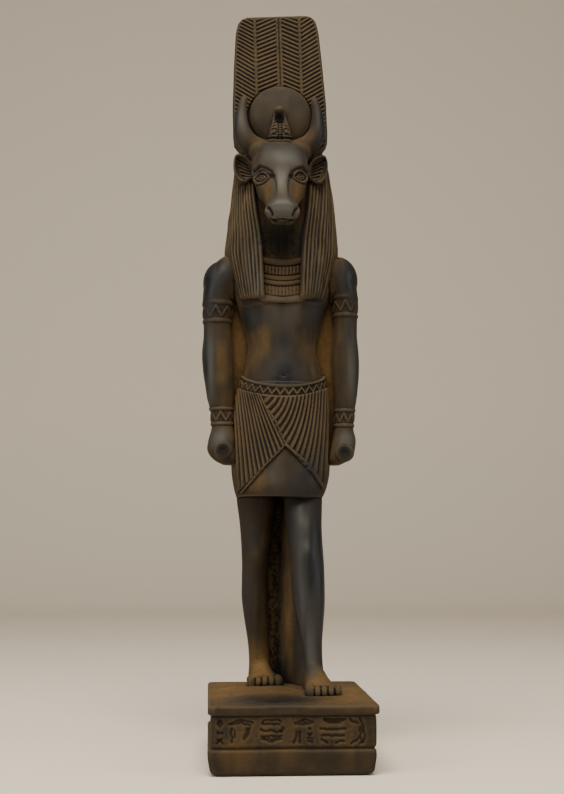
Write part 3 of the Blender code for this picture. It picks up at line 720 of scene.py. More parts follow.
def buildWig():
    # open superellipses with long strands: each strand is half a sine wave round the ring
    strands, power = wig["strands"], wig["power"]
    columns = strands * 7
    share = np.linspace(0, 1, columns + 1)
    uneven = np.random.default_rng(21).uniform(0.55, 1.15, strands)
    height = np.abs(np.sin(math.pi * share * strands)) ** 0.8
    height *= uneven[np.minimum((share * strands).astype(int), strands - 1)]
    rings = []
    for up, halfWidth, front, back, opening in smoothRows(wig["levels"], 100):
        start = math.asin(min(opening / halfWidth, 0.95) ** (power / 2))
        turn = np.linspace(start, 2 * math.pi - start, 1500)
        ahead, across = superellipse((front - back) / 2, halfWidth, power, turn)
        line = evenly(np.stack([across, ahead], axis=1), columns + 1)
        away = np.gradient(line, axis=0)[:, ::-1] * [-1, 1]
        away /= np.linalg.norm(away, axis=1)[:, None]
        away *= np.sign((away * line).sum(axis=1))[:, None]
        line += away * (wig["strandDepth"] * (height - 1.0))[:, None]
        fuller = np.interp(up, *np.transpose(wig["fuller"]))
        line[:, 0] += fuller * softStep(0.55, 1.0, line[:, 0] / halfWidth)
        ring = np.column_stack([line[:, 0], line[:, 1] + (front + back) / 2, np.full(len(line), up)])
        throat = min(wig["throat"], front - 1.0)
        corners = [(ring[-1, 0] + 0.4, throat, up), (ring[0, 0] - 0.4, throat, up)]
        rings.append(np.vstack([ring, corners]))
    stack(rings)


# Bands of the collar: up from, up to, how far it stands out.
collar = {
    "bands": [
        (202.8, 205.4, 1.1),
        (205.4, 211.8, 0.3),
        (211.8, 214.3, 1.1),
        (214.3, 217.0, 1.1),
        (217.0, 222.8, 0.3),
        (222.8, 226.4, 1.3),
    ],
    "beads": 1.9,
    "halfWidth": 12.6,
    "sag": 1.8,
    "lean": 2.4,
    "forward": 37.6,
    "backing": 28.0,
}


def buildCollar():
    # plain rolls, each half a circle, and between them rows of upright beads, each half a sine wave
    x = np.linspace(-collar["halfWidth"], collar["halfWidth"], 110)[None]
    bands = collar["bands"]
    heights = np.linspace(bands[0][0], bands[-1][1], 130)[:, None]
    proud = np.zeros((130, 110))
    for low, high, raised in bands:
        share = np.clip((heights - low) / (high - low), 0, 1)
        roll = np.sqrt(np.clip(1 - (2 * share - 1) ** 2, 0, 1))
        if raised < 0.5:
            bead = np.abs(np.sin(math.pi * x / collar["beads"])) ** 0.6
            bead = bead * softStep(0.05, 0.22, share) * softStep(0.05, 0.22, 1 - share)
            face = 0.85 * bead - 0.1
        else:
            face = raised * roll + 0 * x
        proud = np.where((heights >= low) & (heights <= high), face, proud)
    sag = collar["sag"] * (1 - (x / 11.0) ** 2)
    lean = (heights - heights[0]) / (heights[-1] - heights[0]) * collar["lean"]
    forward = collar["forward"] + proud - lean - 0.012 * x**2
    front = np.stack([x + 0 * proud, forward, heights + 1.2 - sag], axis=-1)
    back = front.copy()
    back[..., 1] = collar["backing"]
    slab(front, back)


# Along the head, skull to lips: forward, up, half width, half height across the run of the face.
head = {
    "shift": -1.2,
    "section": [
        (24.0, 282.0, 12.0, 9.0),
        (31.0, 279.8, 14.4, 11.4),
        (37.5, 275.6, 15.2, 12.0),
        (42.5, 269.3, 14.8, 11.0),
        (47.5, 261.5, 12.6, 9.3),
        (52.0, 254.6, 9.9, 8.0),
        (56.0, 249.2, 8.2, 6.9),
        (59.5, 246.0, 8.8, 6.3),
        (62.6, 243.9, 8.3, 5.1),
        (64.4, 242.8, 6.0, 3.2),
    ],
    "plateUp": [239, 244, 247.5, 250.5, 254, 260, 263.5, 265.5, 268, 271.5, 275, 281, 287, 291],
    "plateHalf": [5.4, 6.5, 6.2, 4.6, 3.5, 3.4, 3.9, 5.2, 8.6, 12.3, 12.9, 12.4, 10.6, 7.0],
    "horn": [
        (4.5, 31.0, 286.6, 5.6),
        (10.6, 32.5, 287.4, 5.6),
        (16.2, 33.4, 290.2, 5.4),
        (19.9, 33.2, 295.8, 4.8),
        (20.9, 32.2, 302.6, 3.7),
        (20.4, 31.2, 310.0, 2.7),
        (19.3, 30.6, 315.4, 1.9),
        (18.7, 30.3, 317.9, 1.0),
    ],
    # right, forward, up
    "eyes": {-1: (-12.0, 47.4, 265.7), 1: (9.0, 47.4, 266.6)},
    # share of the leaf's outline, and forward: back of the ear, its rim, and the bowl
    "earBowl": [
        (0.8, 28.0),
        (1.0, 29.5),
        (1.02, 32.0),
        (1.0, 34.6),
        (0.94, 35.4),
        (0.86, 35.1),
        (0.76, 34.0),
        (0.5, 33.0),
        (0.1, 32.8),
    ],
    "earShift": {-1: 0.0, 1: -1.1},
    "ear": [(24.9, 283.6), (25.9, 275.0), (22.2, 268.6), (16.4, 270.2), (15.2, 276.5), (18.6, 282.0)],
    # lines seen from the front, as right of the head's middle and up
    "brow": [(14.4, 271.2), (11.8, 271.8), (8.2, 270.2), (5.6, 268.2), (4.8, 265.8)],
    "nostril": [(8.0, 247.0), (6.9, 245.0), (5.5, 242.6)],
    "mouth": [(-8.4, 241.2), (-4, 240.2), (0, 240.7), (4, 240.2), (8.4, 241.2)],
    "lidTilt": {-1: 2, 1: 13},
    # an eye's outlines from the outside in: how far down, half width, half height, line width, depth
    "lids": [(0.2, 4.9, 3.8, 1.0, 0.25), (0.0, 4.0, 3.1, 0.9, -0.5), (0.0, 3.1, 2.0, 0.7, 0.6)],
    "earHairs": 6,
}


def buildHead():
    # superellipses across the run of the face, and a flatter plate down forehead and nose, standing proud
    rows = smoothRows(head["section"], 120)
    middle = np.stack([0 * rows[:, 0] + head["shift"], rows[:, 0], rows[:, 1]], axis=1)
    along = np.gradient(middle, axis=0)
    along /= np.linalg.norm(along, axis=1)[:, None]
    over = np.stack([0 * along[:, 0], -along[:, 2], along[:, 1]], axis=1)
    turn = fullTurn(150)[None]
    right, rise = superellipse(rows[:, 2:3], rows[:, 3:4], 2.3, turn)
    side = np.array([1.0, 0, 0])
    stack(middle[:, None] + right[..., None] * side + rise[..., None] * over[:, None])

    faceUp = middle[:, 2] + over[:, 2] * rows[:, 3]
    plateHalf = np.interp(faceUp, head["plateUp"], head["plateHalf"])
    crest = rows[:, 3] + 1.1 * softStep(238, 243, faceUp) * softStep(0, 6, 292 - faceUp)
    keep = slice(18, 114)
    right, rise = superellipse(plateHalf[keep, None], crest[keep, None], 5.0, turn)
    stack(middle[keep, None] + right[..., None] * side + rise[..., None] * over[keep, None])

    for hand in (-1, 1):
        sweep([(head["shift"] + hand * x, f, up, radius) for x, f, up, radius in head["horn"]], 60, 90)
        leaf = evenly(smoothRows([head["ear"][-1]] + head["ear"] + head["ear"][:2], 241)[30:-30], 121)[:-1]
        middleOfLeaf = leaf.mean(axis=0)
        rings = []
        for share, forward in head["earBowl"]:
            ring = middleOfLeaf + share * (leaf - middleOfLeaf)
            right = hand * ring[:, 0] + head["earShift"][hand]
            rings.append(np.column_stack([right, np.full(len(ring), forward), ring[:, 1]]))
        stack(rings)
        pebble(head["eyes"][hand], (3.9, 2.6, 3.0))
        pebble((head["shift"] + hand * 6.6, 60.6, 245.4), (2.7, 3.6, 3.2))
        pebble((head["shift"] + hand * 9.5, 35.5, 284.5), (7.5, 6.5, 6.0))


# Edge: half width and height, bottom to top.
crown = {
    "edge": [
        (16.0, 284.0),
        (22.0, 288.5),
        (25.6, 293.5),
        (26.0, 300.0),
        (25.8, 316.0),
        (25.0, 329.0),
        (24.2, 342.0),
        (23.1, 356.0),
        (22.4, 359.5),
        (21.6, 362.3),
        (20.0, 364.5),
        (16.3, 366.0),
    ],
    "back": 14.0,
    "front": 25.0,
    "lean": -0.033,
    "rachis": 12.4,
    "barbPitch": 2.4,
    "barbDepth": 1.1,
    "quillShift": 0.9,
    "topSlant": 0.055,
    # right, up and radius, and its profile as shares of the radius and forward
    "disk": (-0.5, 306.9, 17.2),
    "diskProfile": [
        (1.0, 20.0),
        (1.0, 28.9),
        (0.985, 29.6),
        (0.95, 30.1),
        (0.8, 31.2),
        (0.55, 32.2),
        (0.3, 32.7),
        (0.05, 32.9),
    ],
}
# the rearing cobra. Hood: right, forward, up, radius. Head and coils: middle, and half its size each way
cobra = {
    "middle": -1.1,
    "hood": [
        (-1.1, 33.0, 288.5, 5.6),
        (-1.1, 34.0, 292.0, 6.2),
        (-1.1, 34.6, 295.5, 5.9),
        (-1.1, 34.9, 299.0, 5.0),
        (-1.2, 34.7, 302.0, 4.1),
        (-1.3, 34.2, 304.5, 3.6),
        (-1.4, 33.8, 307.0, 3.0),
    ],
    "pebbles": [
        ((-1.5, 36.6, 308.0), (2.9, 3.0, 2.0)),
        ((-1.1, 35.6, 293.4), (6.4, 2.3, 1.3)),
        ((-1.1, 34.6, 291.0), (7.2, 2.6, 1.6)),
    ],
    "throat": (-1.4, 303.0, 2.9, 1.5),
    "scales": 7,
    "scalePitch": 1.25,
    # lines cut across it, as points seen from the front, a width and a depth
    "lines": [
        ([(-7.2, 292.4), (-1.1, 291.9), (5.0, 292.4)], 0.8, 0.7),
        ([(-6.6, 294.0), (-1.1, 293.8), (4.4, 294.0)], 0.6, 0.45),
        ([(-3.9, 305.2), (1.1, 305.2)], 1.2, 0.7),
        ([(-4.4, 300.6), (-2.2, 301.8), (-0.6, 301.8), (1.6, 300.6)], 0.8, 0.5),
    ],
    # forward from and to, which the cuts stay between
    "reach": (33, 42),
}


def barbs(across, up):
    # height of the plumes' face: slanting sine ridges each side of a raised rachis, and a double ridge
    # down the middle
    a = np.abs(across)
    rachis, pitch = crown["rachis"], crown["barbPitch"]
    outer = (up - 0.6 * (a - rachis)) / pitch
    inner = (up - 0.435 * (rachis - a)) / pitch
    wave = np.where(a > rachis, np.abs(np.sin(math.pi * outer)), np.abs(np.sin(math.pi * inner)))
    height = crown["barbDepth"] * (wave**1.15 - 1.0) + 0.35
    quill = 1 - np.abs(a - rachis) / 0.8
    tick = 0.05 * np.sin(2 * math.pi * up / 2.9) + 0.05 * np.sin(2 * math.pi * up / 1.3)
    rounded = 0.1 + 0.25 * np.sqrt(np.clip(quill, 0, 1)) + tick
    height = np.where(quill > 0, np.maximum(height, rounded), height)
    a = np.abs(across - crown["quillShift"])
    middle = 0.3 * np.clip(1 - np.abs(a - 1.0) / 0.8, 0, 1) - 0.3 * np.clip(1 - a / 0.6, 0, 1) + tick
    return np.where(a < 1.7, middle, height)


def buildCrown():
    # a slab whose front grid carries the barbs, under a plain rim that follows the outline
    edge = np.array(crown["edge"])
    share = np.linspace(-1, 1, 320)[None]
    up = np.linspace(edge[0, 1], edge[-1, 1], 520)[:, None]
    half = np.interp(up, edge[:, 1], edge[:, 0])
    x = share * half
    inside = np.minimum(half - np.abs(x), (edge[-1, 1] - up) * 0.9)
    face = barbs(x, up) * softStep(1.1, 1.7, inside)
    diskRight, diskUp, diskRadius = crown["disk"]
    leaning = x + crown["lean"] * (up - 295.0)
    away = np.hypot(leaning - diskRight, up - diskUp) - diskRadius
    face = face * softStep(0.6, 1.6, away) - 0.9 * softStep(1.6, 0.9, away)
    face -= 1.0 * (1 - softStep(0, 0.9, inside))
    up = up + crown["topSlant"] * x * softStep(345, 366, up)
    front = np.stack([leaning, crown["front"] + face, up], axis=-1)
    back = np.stack([leaning, crown["back"] + 0.8 * (1 - softStep(0, 1.2, inside)), up], axis=-1)
    slab(front, back)


def buildDiskAndCobra():
    # a low domed disk, and a cobra rearing before it as a flattened sweep with a coil at its foot
    right, up, radius = crown["disk"]
    turn = fullTurn(160)
    rings = [
        np.column_stack([right + radius * s * np.cos(turn), np.full(160, f), up + radius * s * np.sin(turn)])
        for s, f in crown["diskProfile"]
    ]
    stack(rings)
    sweep(cobra["hood"], 48, 60, 0.5, 2.6)
    for middle, radii in cobra["pebbles"]:
        pebble(middle, radii)


say("working out the forms")
startPart("castPlinth")
buildPlinth()
startPart("castSupports")
buildSupports()
startPart("castLegsAndKilt")
buildLegs()
buildKilt()
buildBelt()
startPart("castTorso")
buildTorsoAndArms()
buildCollar()
startPart("castHead")
buildWig()
buildHead()
buildCrown()
buildDiskAndCobra()


def meltTogether(name, step):
    # one skin over a part's closed surfaces: even squares `step` apart
    mesh = bpy.data.meshes.new("forms")
    mesh.from_pydata(np.vstack(shellPoints[name]), [], shellFaces[name])
    mould = newObject("forms", mesh)
    skin = mould.modifiers.new("one skin", "REMESH")
    skin.mode = "VOXEL"
    skin.voxel_size = step
    skin.adaptivity = 0.0
    melted = takeMesh(mould)
    points = np.empty(len(melted.vertices) * 3)
    melted.vertices.foreach_get("co", points)
    corners = np.empty(len(melted.loops), np.int32)
    melted.loops.foreach_get("vertex_index", corners)
    bpy.data.meshes.remove(melted)
    return points.reshape(-1, 3), corners.reshape(-1, 4)


def gather(target, values, count):
    # adds each row of values to the row of the result that target names
    return np.stack([np.bincount(target, column, count) for column in values.T], axis=1)


def areaNormals(points, quads):
    # each square's area-weighted normal, half the cross product of its diagonals, shared by its four corners
    a, b, c, d = (points[quads[:, k]] for k in range(4))
    share = np.cross(c - a, d - b) / 2 / 4
    return sum(gather(quads[:, k], share, len(points)) for k in range(4))


def unitNormals(points, quads):
    # the same, each made one long
    normals = areaNormals(points, quads)
    return normals / np.linalg.norm(normals, axis=1)[:, None]


def relax(points, quads, strength):
    # moves each point part of the way to the mean of its neighbours
    count = len(points)
    start, end = quads.ravel(), np.roll(quads, -1, axis=1).ravel()
    total = gather(start, points[end], count) + gather(end, points[start], count)
    number = np.bincount(start, minlength=count) + np.bincount(end, minlength=count)
    return points + strength * (total / number[:, None] - points)


# each part's first point, last point, first square and last square in the arrays that hold them all
spans = {}
pointLists, quadLists = [], []
for name, (step, _) in statue["parts"].items():
    say(f"melting {name}")
    points, quads = meltTogether(name, step)
    for strength in (0.4, -0.3):
        points = relax(points, quads, strength)
    firstPoint, firstQuad = sum(map(len, pointLists)), sum(map(len, quadLists))
    pointLists.append(points)
    quadLists.append(quads + firstPoint)
    spans[name] = (firstPoint, firstPoint + len(points), firstQuad, firstQuad + len(quads))
skinPoints = np.vstack(pointLists)
skinQuads = np.vstack(quadLists)
skinNormals = unitNormals(skinPoints, skinQuads)
# how deep the lines are cut at each point, later used to darken them as painted shade
cutDepth = np.zeros(len(skinPoints))
say(f"skin has {len(skinPoints)} points")


def blob(middle, reach):
    # a soft spot: 1 in the middle, falling as a bell curve by each reach
    away = (skinPoints - np.array(middle)) / np.array(reach)
    return np.exp(-(away**2).sum(axis=1))


def soften(middle, reach, rounds):
    # smooths the skin round a place: each point moves towards its neighbours' mean, most in the middle
    weight = blob(middle, reach)
    quads = skinQuads[weight[skinQuads[:, 0]] > 0.04]
    used, local = np.unique(quads, return_inverse=True)
    local = local.reshape(quads.shape)
    points, share = skinPoints[used], 0.6 * weight[used][:, None]
    for _ in range(rounds):
        points = points + share * (relax(points, local, 1.0) - points)
    skinPoints[used] = points


def swell(middle, reach, height):
    # a soft rise along the surface's normals: a bell curve in each direction
    away = (skinPoints - np.array(middle)) / np.array(reach)
    near = (np.abs(away) < 2.4).all(axis=1)
    bell = np.exp(-(away[near] ** 2).sum(axis=1))
    skinPoints[near] += skinNormals[near] * (height * bell)[:, None]


def carve(path, width, depth, forwardFrom, forwardTo, facing=0.15, closed=False):
    # a groove (or, with a depth below 0, a ridge) along a path of (right, up) points seen from the front
    path = np.asarray(path, float)
    if closed:
        path = np.vstack([path, path[:1]])
    low, high = path.min(axis=0) - 1.6 * width, path.max(axis=0) + 1.6 * width
    x, forward, up = skinPoints.T
    near = (x > low[0]) & (x < high[0]) & (up > low[1]) & (up < high[1])
    near &= (forward > forwardFrom) & (forward < forwardTo) & (skinNormals[:, 1] > facing)
    index = np.flatnonzero(near)
    spot = np.stack([x[index], up[index]], axis=1)
    nearest = np.full(len(index), 1e9)
    for a, b in zip(path[:-1], path[1:]):
        run = b - a
        t = np.clip((spot - a) @ run / max(run @ run, 1e-9), 0, 1)
        nearest = np.minimum(nearest, np.linalg.norm(spot - a - t[:, None] * run, axis=1))
    bell = np.exp(-((nearest / (width / 2)) ** 2))
    skinPoints[index] -= skinNormals[index] * (depth * bell)[:, None]
    if depth > 0:
        cutDepth[index] = np.maximum(cutDepth[index], bell * min(depth / 0.8, 1.0))


def sinkHole(right, up, radius, depth, forwardFrom, forwardTo):
    # a round hole seen from the front, with a soft lip
    x, forward, height = skinPoints.T
    away = np.hypot(x - right, height - up) / radius
    near = (away < 1.5) & (forward > forwardFrom) & (forward < forwardTo) & (skinNormals[:, 1] > 0.1)
    bell = softStep(1.15, 0.6, away[near])
    skinPoints[near, 1] -= depth * bell
    cutDepth[near] = np.maximum(cutDepth[near], bell)


def arc(middle, radii, start, end, count=20):
    # part of an ellipse, in degrees, as (right, up) points
    turn = np.radians(np.linspace(start, end, count))
    return np.stack([middle[0] + radii[0] * np.cos(turn), middle[1] + radii[1] * np.sin(turn)], axis=1)


def almond(middle, halfWidth, halfHeight, tilt, count=15):
    # an eye: two arcs that meet in points, turned by `tilt` degrees
    t = np.linspace(0, 1, count)
    bow = 4 * t * (1 - t)
    top = np.stack([(2 * t - 1) * halfWidth, bow * halfHeight], axis=1)
    line = np.vstack([top, (top * [1, -1])[-2:0:-1]])
    c, s = math.cos(math.radians(tilt)), math.sin(math.radians(tilt))
    return np.array(middle) + line @ np.array([[c, s], [-s, c]])


# Under the skin. Each place: middle, reach each way, and how high it rises or how long it is smoothed.
flesh = {
    # muscle and bone, and the hollows between them
    "rises": [
        ((-10.5, 36, 199), (9, 10, 8), 1.0),
        ((10.5, 36, 199), (9, 10, 8), 1.0),
        ((0, 35, 167), (9, 9, 11), 0.9),
        ((0, 36, 190), (3.6, 9, 14), -0.2),
        ((-13, 34, 180), (5, 9, 8), -0.5),
        ((13, 34, 180), (5, 9, 8), -0.5),
        ((-13.8, 27, 69), (4.5, 5, 5), 0.8),
        ((12.3, 46, 69), (5, 5, 5.5), 0.9),
        ((-13.6, 25, 40), (2.2, 4, 22), 0.4),
        ((13.0, 49, 44), (2.4, 5, 20), 0.5),
        ((12.0, 38, 104), (9, 7, 9), 1.1),
        ((head["shift"] - 7.4, 55, 257), (2.8, 7, 5.5), -1.5),
        ((head["shift"] + 7.4, 55, 257), (2.8, 7, 5.5), -1.5),
        ((head["shift"] - 11.5, 47, 257), (3, 8, 5), 0.8),
        ((head["shift"] + 11.5, 47, 257), (3, 8, 5), 0.8),
    ],
    # the joins: horns, nose, ankles, shoulders, and the hollow beside the web
    "smoothed": [
        ((-1.2, 40, 284), (16, 10, 5.5), 130),
        ((-15, 38, 277), (5, 8, 6), 70),
        ((12.5, 38, 277), (5, 8, 6), 70),
        ((-1.2, 61, 249.5), (9, 8, 4.5), 110),
        ((16, 50, 9), (8, 9, 7), 90),
        ((-11, 22, 10), (8, 9, 6), 90),
        ((-39, 20, 211), (7, 12, 6), 70),
        ((40, 20, 210), (7, 12, 6), 50),
        ((-2, 16, 55), (6, 9, 62), 90),
    ],
}


def shapeFlesh():
    # soft rises first, then the smoothing
    for middle, reach, height in flesh["rises"]:
        swell(middle, reach, height)
    for middle, reach, rounds in flesh["smoothed"]:
        soften(middle, reach, rounds)


def cutFace():
    # lids, pupils, brow lines, nostrils, mouth, and the hair in the ears
    shift = head["shift"]
    browToCheek, muzzle, earFront = (38, 62), (50, 74), (29, 37)
    for hand in (-1, 1):
        eye, _, eyeUp = head["eyes"][hand]
        lean = hand * head["lidTilt"][hand]
        for down, halfWidth, halfHeight, width, depth in head["lids"]:
            outline = almond((eye, eyeUp - down), halfWidth, halfHeight, lean)
            carve(outline, width, depth, *browToCheek, closed=True)
        carve(arc((eye, eyeUp), (1.0, 1.0), 0, 360), 0.6, 0.35, *browToCheek)
        carve([(shift + hand * x, up) for x, up in head["brow"]], 2.4, 1.1, *browToCheek)
        carve([(shift + hand * x, up) for x, up in head["nostril"]], 1.9, 1.9, *muzzle)
        earRight = head["earShift"][hand]
        for step in range(head["earHairs"]):
            start = (hand * (24.0 - step * 0.7) + earRight, 281.0 - step * 2.2)
            end = (hand * (18.4 - step * 0.45) + earRight, 277.6 - step * 1.6)
            carve([start, end], 1.0, 0.8, *earFront)
    carve([(shift + x, up) for x, up in head["mouth"]], 0.9, 0.7, 55, 74, 0.0)


def cutDiskAndCobra():
    # a line round the disk, and on the cobra its ribs, curls, scales, coil lines and throat
    right, up, radius = crown["disk"]
    middle, reach = cobra["middle"], cobra["reach"]
    carve(arc((right, up), (radius + 0.2, radius + 0.2), 0, 360, 60), 1.0, 0.35, 22, 31, 0.05)
    for side in (-1, 1):
        rib = middle + side * 1.2
        carve([(rib, 291.6), (rib - side * 0.2, 301.5)], 0.7, 0.55, *reach)
        curl = arc((middle + side * 3.4, 296.0), (1.5, 1.5), 90 - side * 60, 90 + side * 210, 16)
        carve(curl, 0.7, 0.6, *reach)
        carve([(middle + side * 2.0, 299.4), (middle + side * 3.8, 298.9)], 0.6, 0.5, *reach)
    for step in range(cobra["scales"]):
        scale = 292.9 + cobra["scalePitch"] * step
        carve([(-2.0, scale), (-0.2, scale)], 0.5, 0.4, *reach)
    sinkHole(*cobra["throat"], *reach)
    for path, width, depth in cobra["lines"]:
        carve(path, width, depth, *reach)


def cutHands():
    # the hollow in each closed fist
    for middle in arms["grips"].values():
        sinkHole(*middle, arms["gripRadius"], 0.7, 28, 42)
        swell((middle[0], 34.5, middle[1]), (2.6, 5, 2.6), -1.7)


def cutToes():
    # the gaps between the toes, on both feet
    gap = feet["gap"]
    for foot in (feet["rear"], feet["front"]):
        low, high = foot["lift"] + gap["low"], foot["lift"] + gap["high"]
        for index in range(1, feet["toes"]):
            right = toeMiddle(foot, index - 0.5)
            path = [(right, low), (right, high)]
            carve(path, gap["width"], gap["depth"], foot["gaps"], foot["gaps"] + 20, 0.3)


# Lines on the bare torso, as points seen from the front, a width and a depth.
torsoLines = {
    # a small hole, and the fold at its lower left
    "navel": [([(0.8, 163.2), (1.4, 163.0)], 1.5, 0.6), ([(-0.4, 162.2), (0.8, 161.5)], 1.0, -0.2)],
    "chestEdges": [
        [(-25.8, 208.8), (-23.6, 203.4), (-19.5, 201.0), (-12.5, 201.6), (-8.5, 203.2)],
        [(9.5, 203.2), (14.5, 202.6), (20.5, 202.4), (24.6, 205.4), (26.8, 209.8)],
    ],
    "chestEdgeWidth": 2.4,
    "chestEdgeHeight": 0.28,
}


def cutNavel():
    for path, width, depth in torsoLines["navel"]:
        carve(path, width, depth, 30, 42)


def cutChest():
    # the soft edge of the chest muscles, just under the hair
    for edge in torsoLines["chestEdges"]:
        path = smoothRows(edge, 20)
        carve(path, torsoLines["chestEdgeWidth"], -torsoLines["chestEdgeHeight"], 28, 46, 0.0)


# Groups of marks along the band: each group's middle, and its strokes as a width and points from that
# middle, in millimetres.
inscription = {
    "bottom": 13.2,
    "depth": 0.75,
    "ragged": 0.13,
    "groups": {
        -34.4: [
            (1.7, [(0, 10.9), (0.2, 11.3)]),
            (0.6, [(0, 9.4), (1.3, 11.0), (0, 12.6), (-1.4, 11.0), (0, 9.4)]),
            (1.3, [(-0.9, 6.6), (-0.6, 6.5)]),
            (1.1, [(0.7, 6.6), (0.9, 6.5)]),
            (0.6, [(-1.3, 1.9), (0.1, 3.6), (0.9, 3.9)]),
            (0.6, [(-0.9, 3.8), (0.2, 3.0), (1.3, 1.7)]),
        ],
        -24.6: [
            (0.8, [(-5.3, 10.6), (-3.0, 11.8), (-0.4, 12.6), (2.0, 12.0), (5.2, 11.2)]),
            (0.7, [(-4.6, 10.4), (-1.6, 10.7), (0.0, 11.6), (1.8, 10.6), (4.4, 10.3)]),
            (1.0, [(-4.4, 8.6), (-4.8, 6.6), (-3.9, 4.6), (-4.2, 2.6)]),
            (0.5, [(-3.2, 8.0), (-2.9, 4.4)]),
            (1.8, [(3.0, 8.4), (1.7, 4.4)]),
            (0.7, [(4.0, 8.8), (2.9, 5.0)]),
        ],
        -10.6: [
            (0.8, [(-4.4, 11.2), (-3.8, 12.3), (3.4, 12.5), (4.4, 11.8)]),
            (0.8, [(-3.9, 10.5), (0.0, 10.7), (4.0, 10.5)]),
            (0.9, [(-4.8, 8.2), (-3.0, 7.3), (0.4, 7.7), (1.6, 6.7), (4.6, 7.0)]),
            (1.5, [(5.2, 8.4), (4.8, 7.0)]),
            (0.7, [(-4.9, 4.9), (4.9, 5.1)]),
            (1.4, [(-3.6, 4.2), (0.2, 3.3), (3.8, 4.3)]),
            (0.6, [(-4.4, 3.8), (0.2, 2.1), (4.5, 3.9)]),
        ],
        4.8: [
            (
                0.7,
                [(-4.4, 10.9), (-1.6, 12.0), (0.2, 12.9), (2.0, 12.0), (4.2, 11.2), (0.4, 10.2), (-4.4, 10.9)],
            ),
            (1.2, [(-0.3, 11.4), (0.5, 11.3)]),
            (1.2, [(-3.4, 6.8), (-4.0, 4.0), (-5.0, 2.0)]),
            (0.9, [(-2.0, 7.0), (-2.4, 4.2), (-2.2, 2.2)]),
            (1.0, [(2.4, 8.4), (2.6, 8.0)]),
            (0.8, [(1.5, 5.8), (2.5, 4.9), (3.2, 6.0)]),
            (1.1, [(2.0, 2.8), (3.4, 2.2)]),
            (0.6, [(1.2, 4.1), (4.0, 3.9)]),
        ],
        18.3: [
            (1.6, [(-3.6, 11.9), (4.2, 12.0)]),
            (1.0, [(-4.6, 12.6), (5.2, 12.6)]),
            (0.9, [(-2.4, 10.9), (3.2, 11.0)]),
            (1.0, [(-5.8, 8.2), (-1.0, 7.9), (5.2, 8.2)]),
            (1.0, [(-5.4, 5.2), (1.0, 4.9), (4.8, 5.1)]),
            (1.1, [(-5.4, 3.4), (-4.0, 2.6), (-3.2, 1.8)]),
            (0.8, [(1.6, 1.8), (3.2, 2.7), (5.0, 2.6)]),
        ],
        30.0: [
            (1.0, [(-3.6, 12.4), (-2.2, 11.2), (-0.4, 10.9)]),
            (0.9, [(0.6, 13.0), (1.9, 10.6), (2.0, 7.4), (0.9, 5.0), (-0.6, 3.0), (-3.4, 1.5)]),
            (1.2, [(0.9, 8.8), (0.4, 6.9)]),
            (0.8, [(2.6, 7.4), (3.0, 4.4), (2.2, 1.9), (0.6, 1.4)]),
            (0.7, [(1.0, 3.8), (1.9, 1.9)]),
        ],
    },
}


def cutInscription():
    # rows of shallow marks where the carved writing is: ragged strokes and bars that spell nothing
    chance = np.random.default_rng(41)
    lift = inscription["bottom"] - statue["plinthHeight"]
    for middle, strokes in inscription["groups"].items():
        for width, stroke in strokes:
            path = np.array(stroke) + [middle - statue["offset"], lift]
            length = np.linalg.norm(np.diff(path, axis=0), axis=1).sum()
            path = evenly(path, max(int(length / 0.8), 2))
            path += chance.normal(0, inscription["ragged"], path.shape)
            carve(path, width + 0.25, inscription["depth"], plinthFront - 4, plinthFront + 2, 0.5)


def weather():
    # uneven casting: broad hills everywhere, and rougher stone in the hollow beside the advanced leg, on
    # the wig, under the muzzle, on the carved band and on the plinth's top
    x, forward, up = skinPoints.T
    rough = 0.07 * lumps(skinPoints, 8.0, 1)
    hollow = softStep(3, -1, x) * softStep(-8, -5, x) * softStep(0, 6, up) * softStep(102, 96, up)
    hollow *= softStep(34, 26, forward)
    rough += hollow * (0.1 * lumps(skinPoints, 1.2, 3) + 0.3 * lumps(skinPoints * [1, 1, 0.5], 2.6, 4))
    hair = softStep(292, 288, up) * softStep(203, 206, up)
    hair *= 1 - softStep(34, 36, forward) * softStep(236, 238, up)
    hair[: spans["castHead"][0]] = 0
    rough += 0.22 * hair * lumps(skinPoints * [1, 1, 0.14], 1.5, 10)
    throat = softStep(13, 11, np.abs(x + 1)) * softStep(226, 230, up) * softStep(243, 240, up)
    rough += throat * 0.18 * lumps(skinPoints, 1.6, 6)
    band = softStep(plinthFront - 4, plinthFront - 3, forward) * softStep(-20, -19, up)
    band *= softStep(-4.4, -5.4, up)
    rough += band * (0.1 * lumps(skinPoints, 1.3, 7) + 0.08 * lumps(skinPoints, 2.6, 8))
    ledge = softStep(-1, 0, up) * softStep(6, 3, up) * softStep(0.7, 0.9, skinNormals[:, 2])
    rough += 0.09 * ledge * lumps(skinPoints, 1.5, 9)
    skinPoints[:] += skinNormals * rough[:, None]


say("shaping the flesh and cutting the lines")
shapeFlesh()
skinNormals = unitNormals(skinPoints, skinQuads)
cutFace()
cutDiskAndCobra()
cutHands()
cutToes()
cutNavel()
cutChest()
cutInscription()
weather()


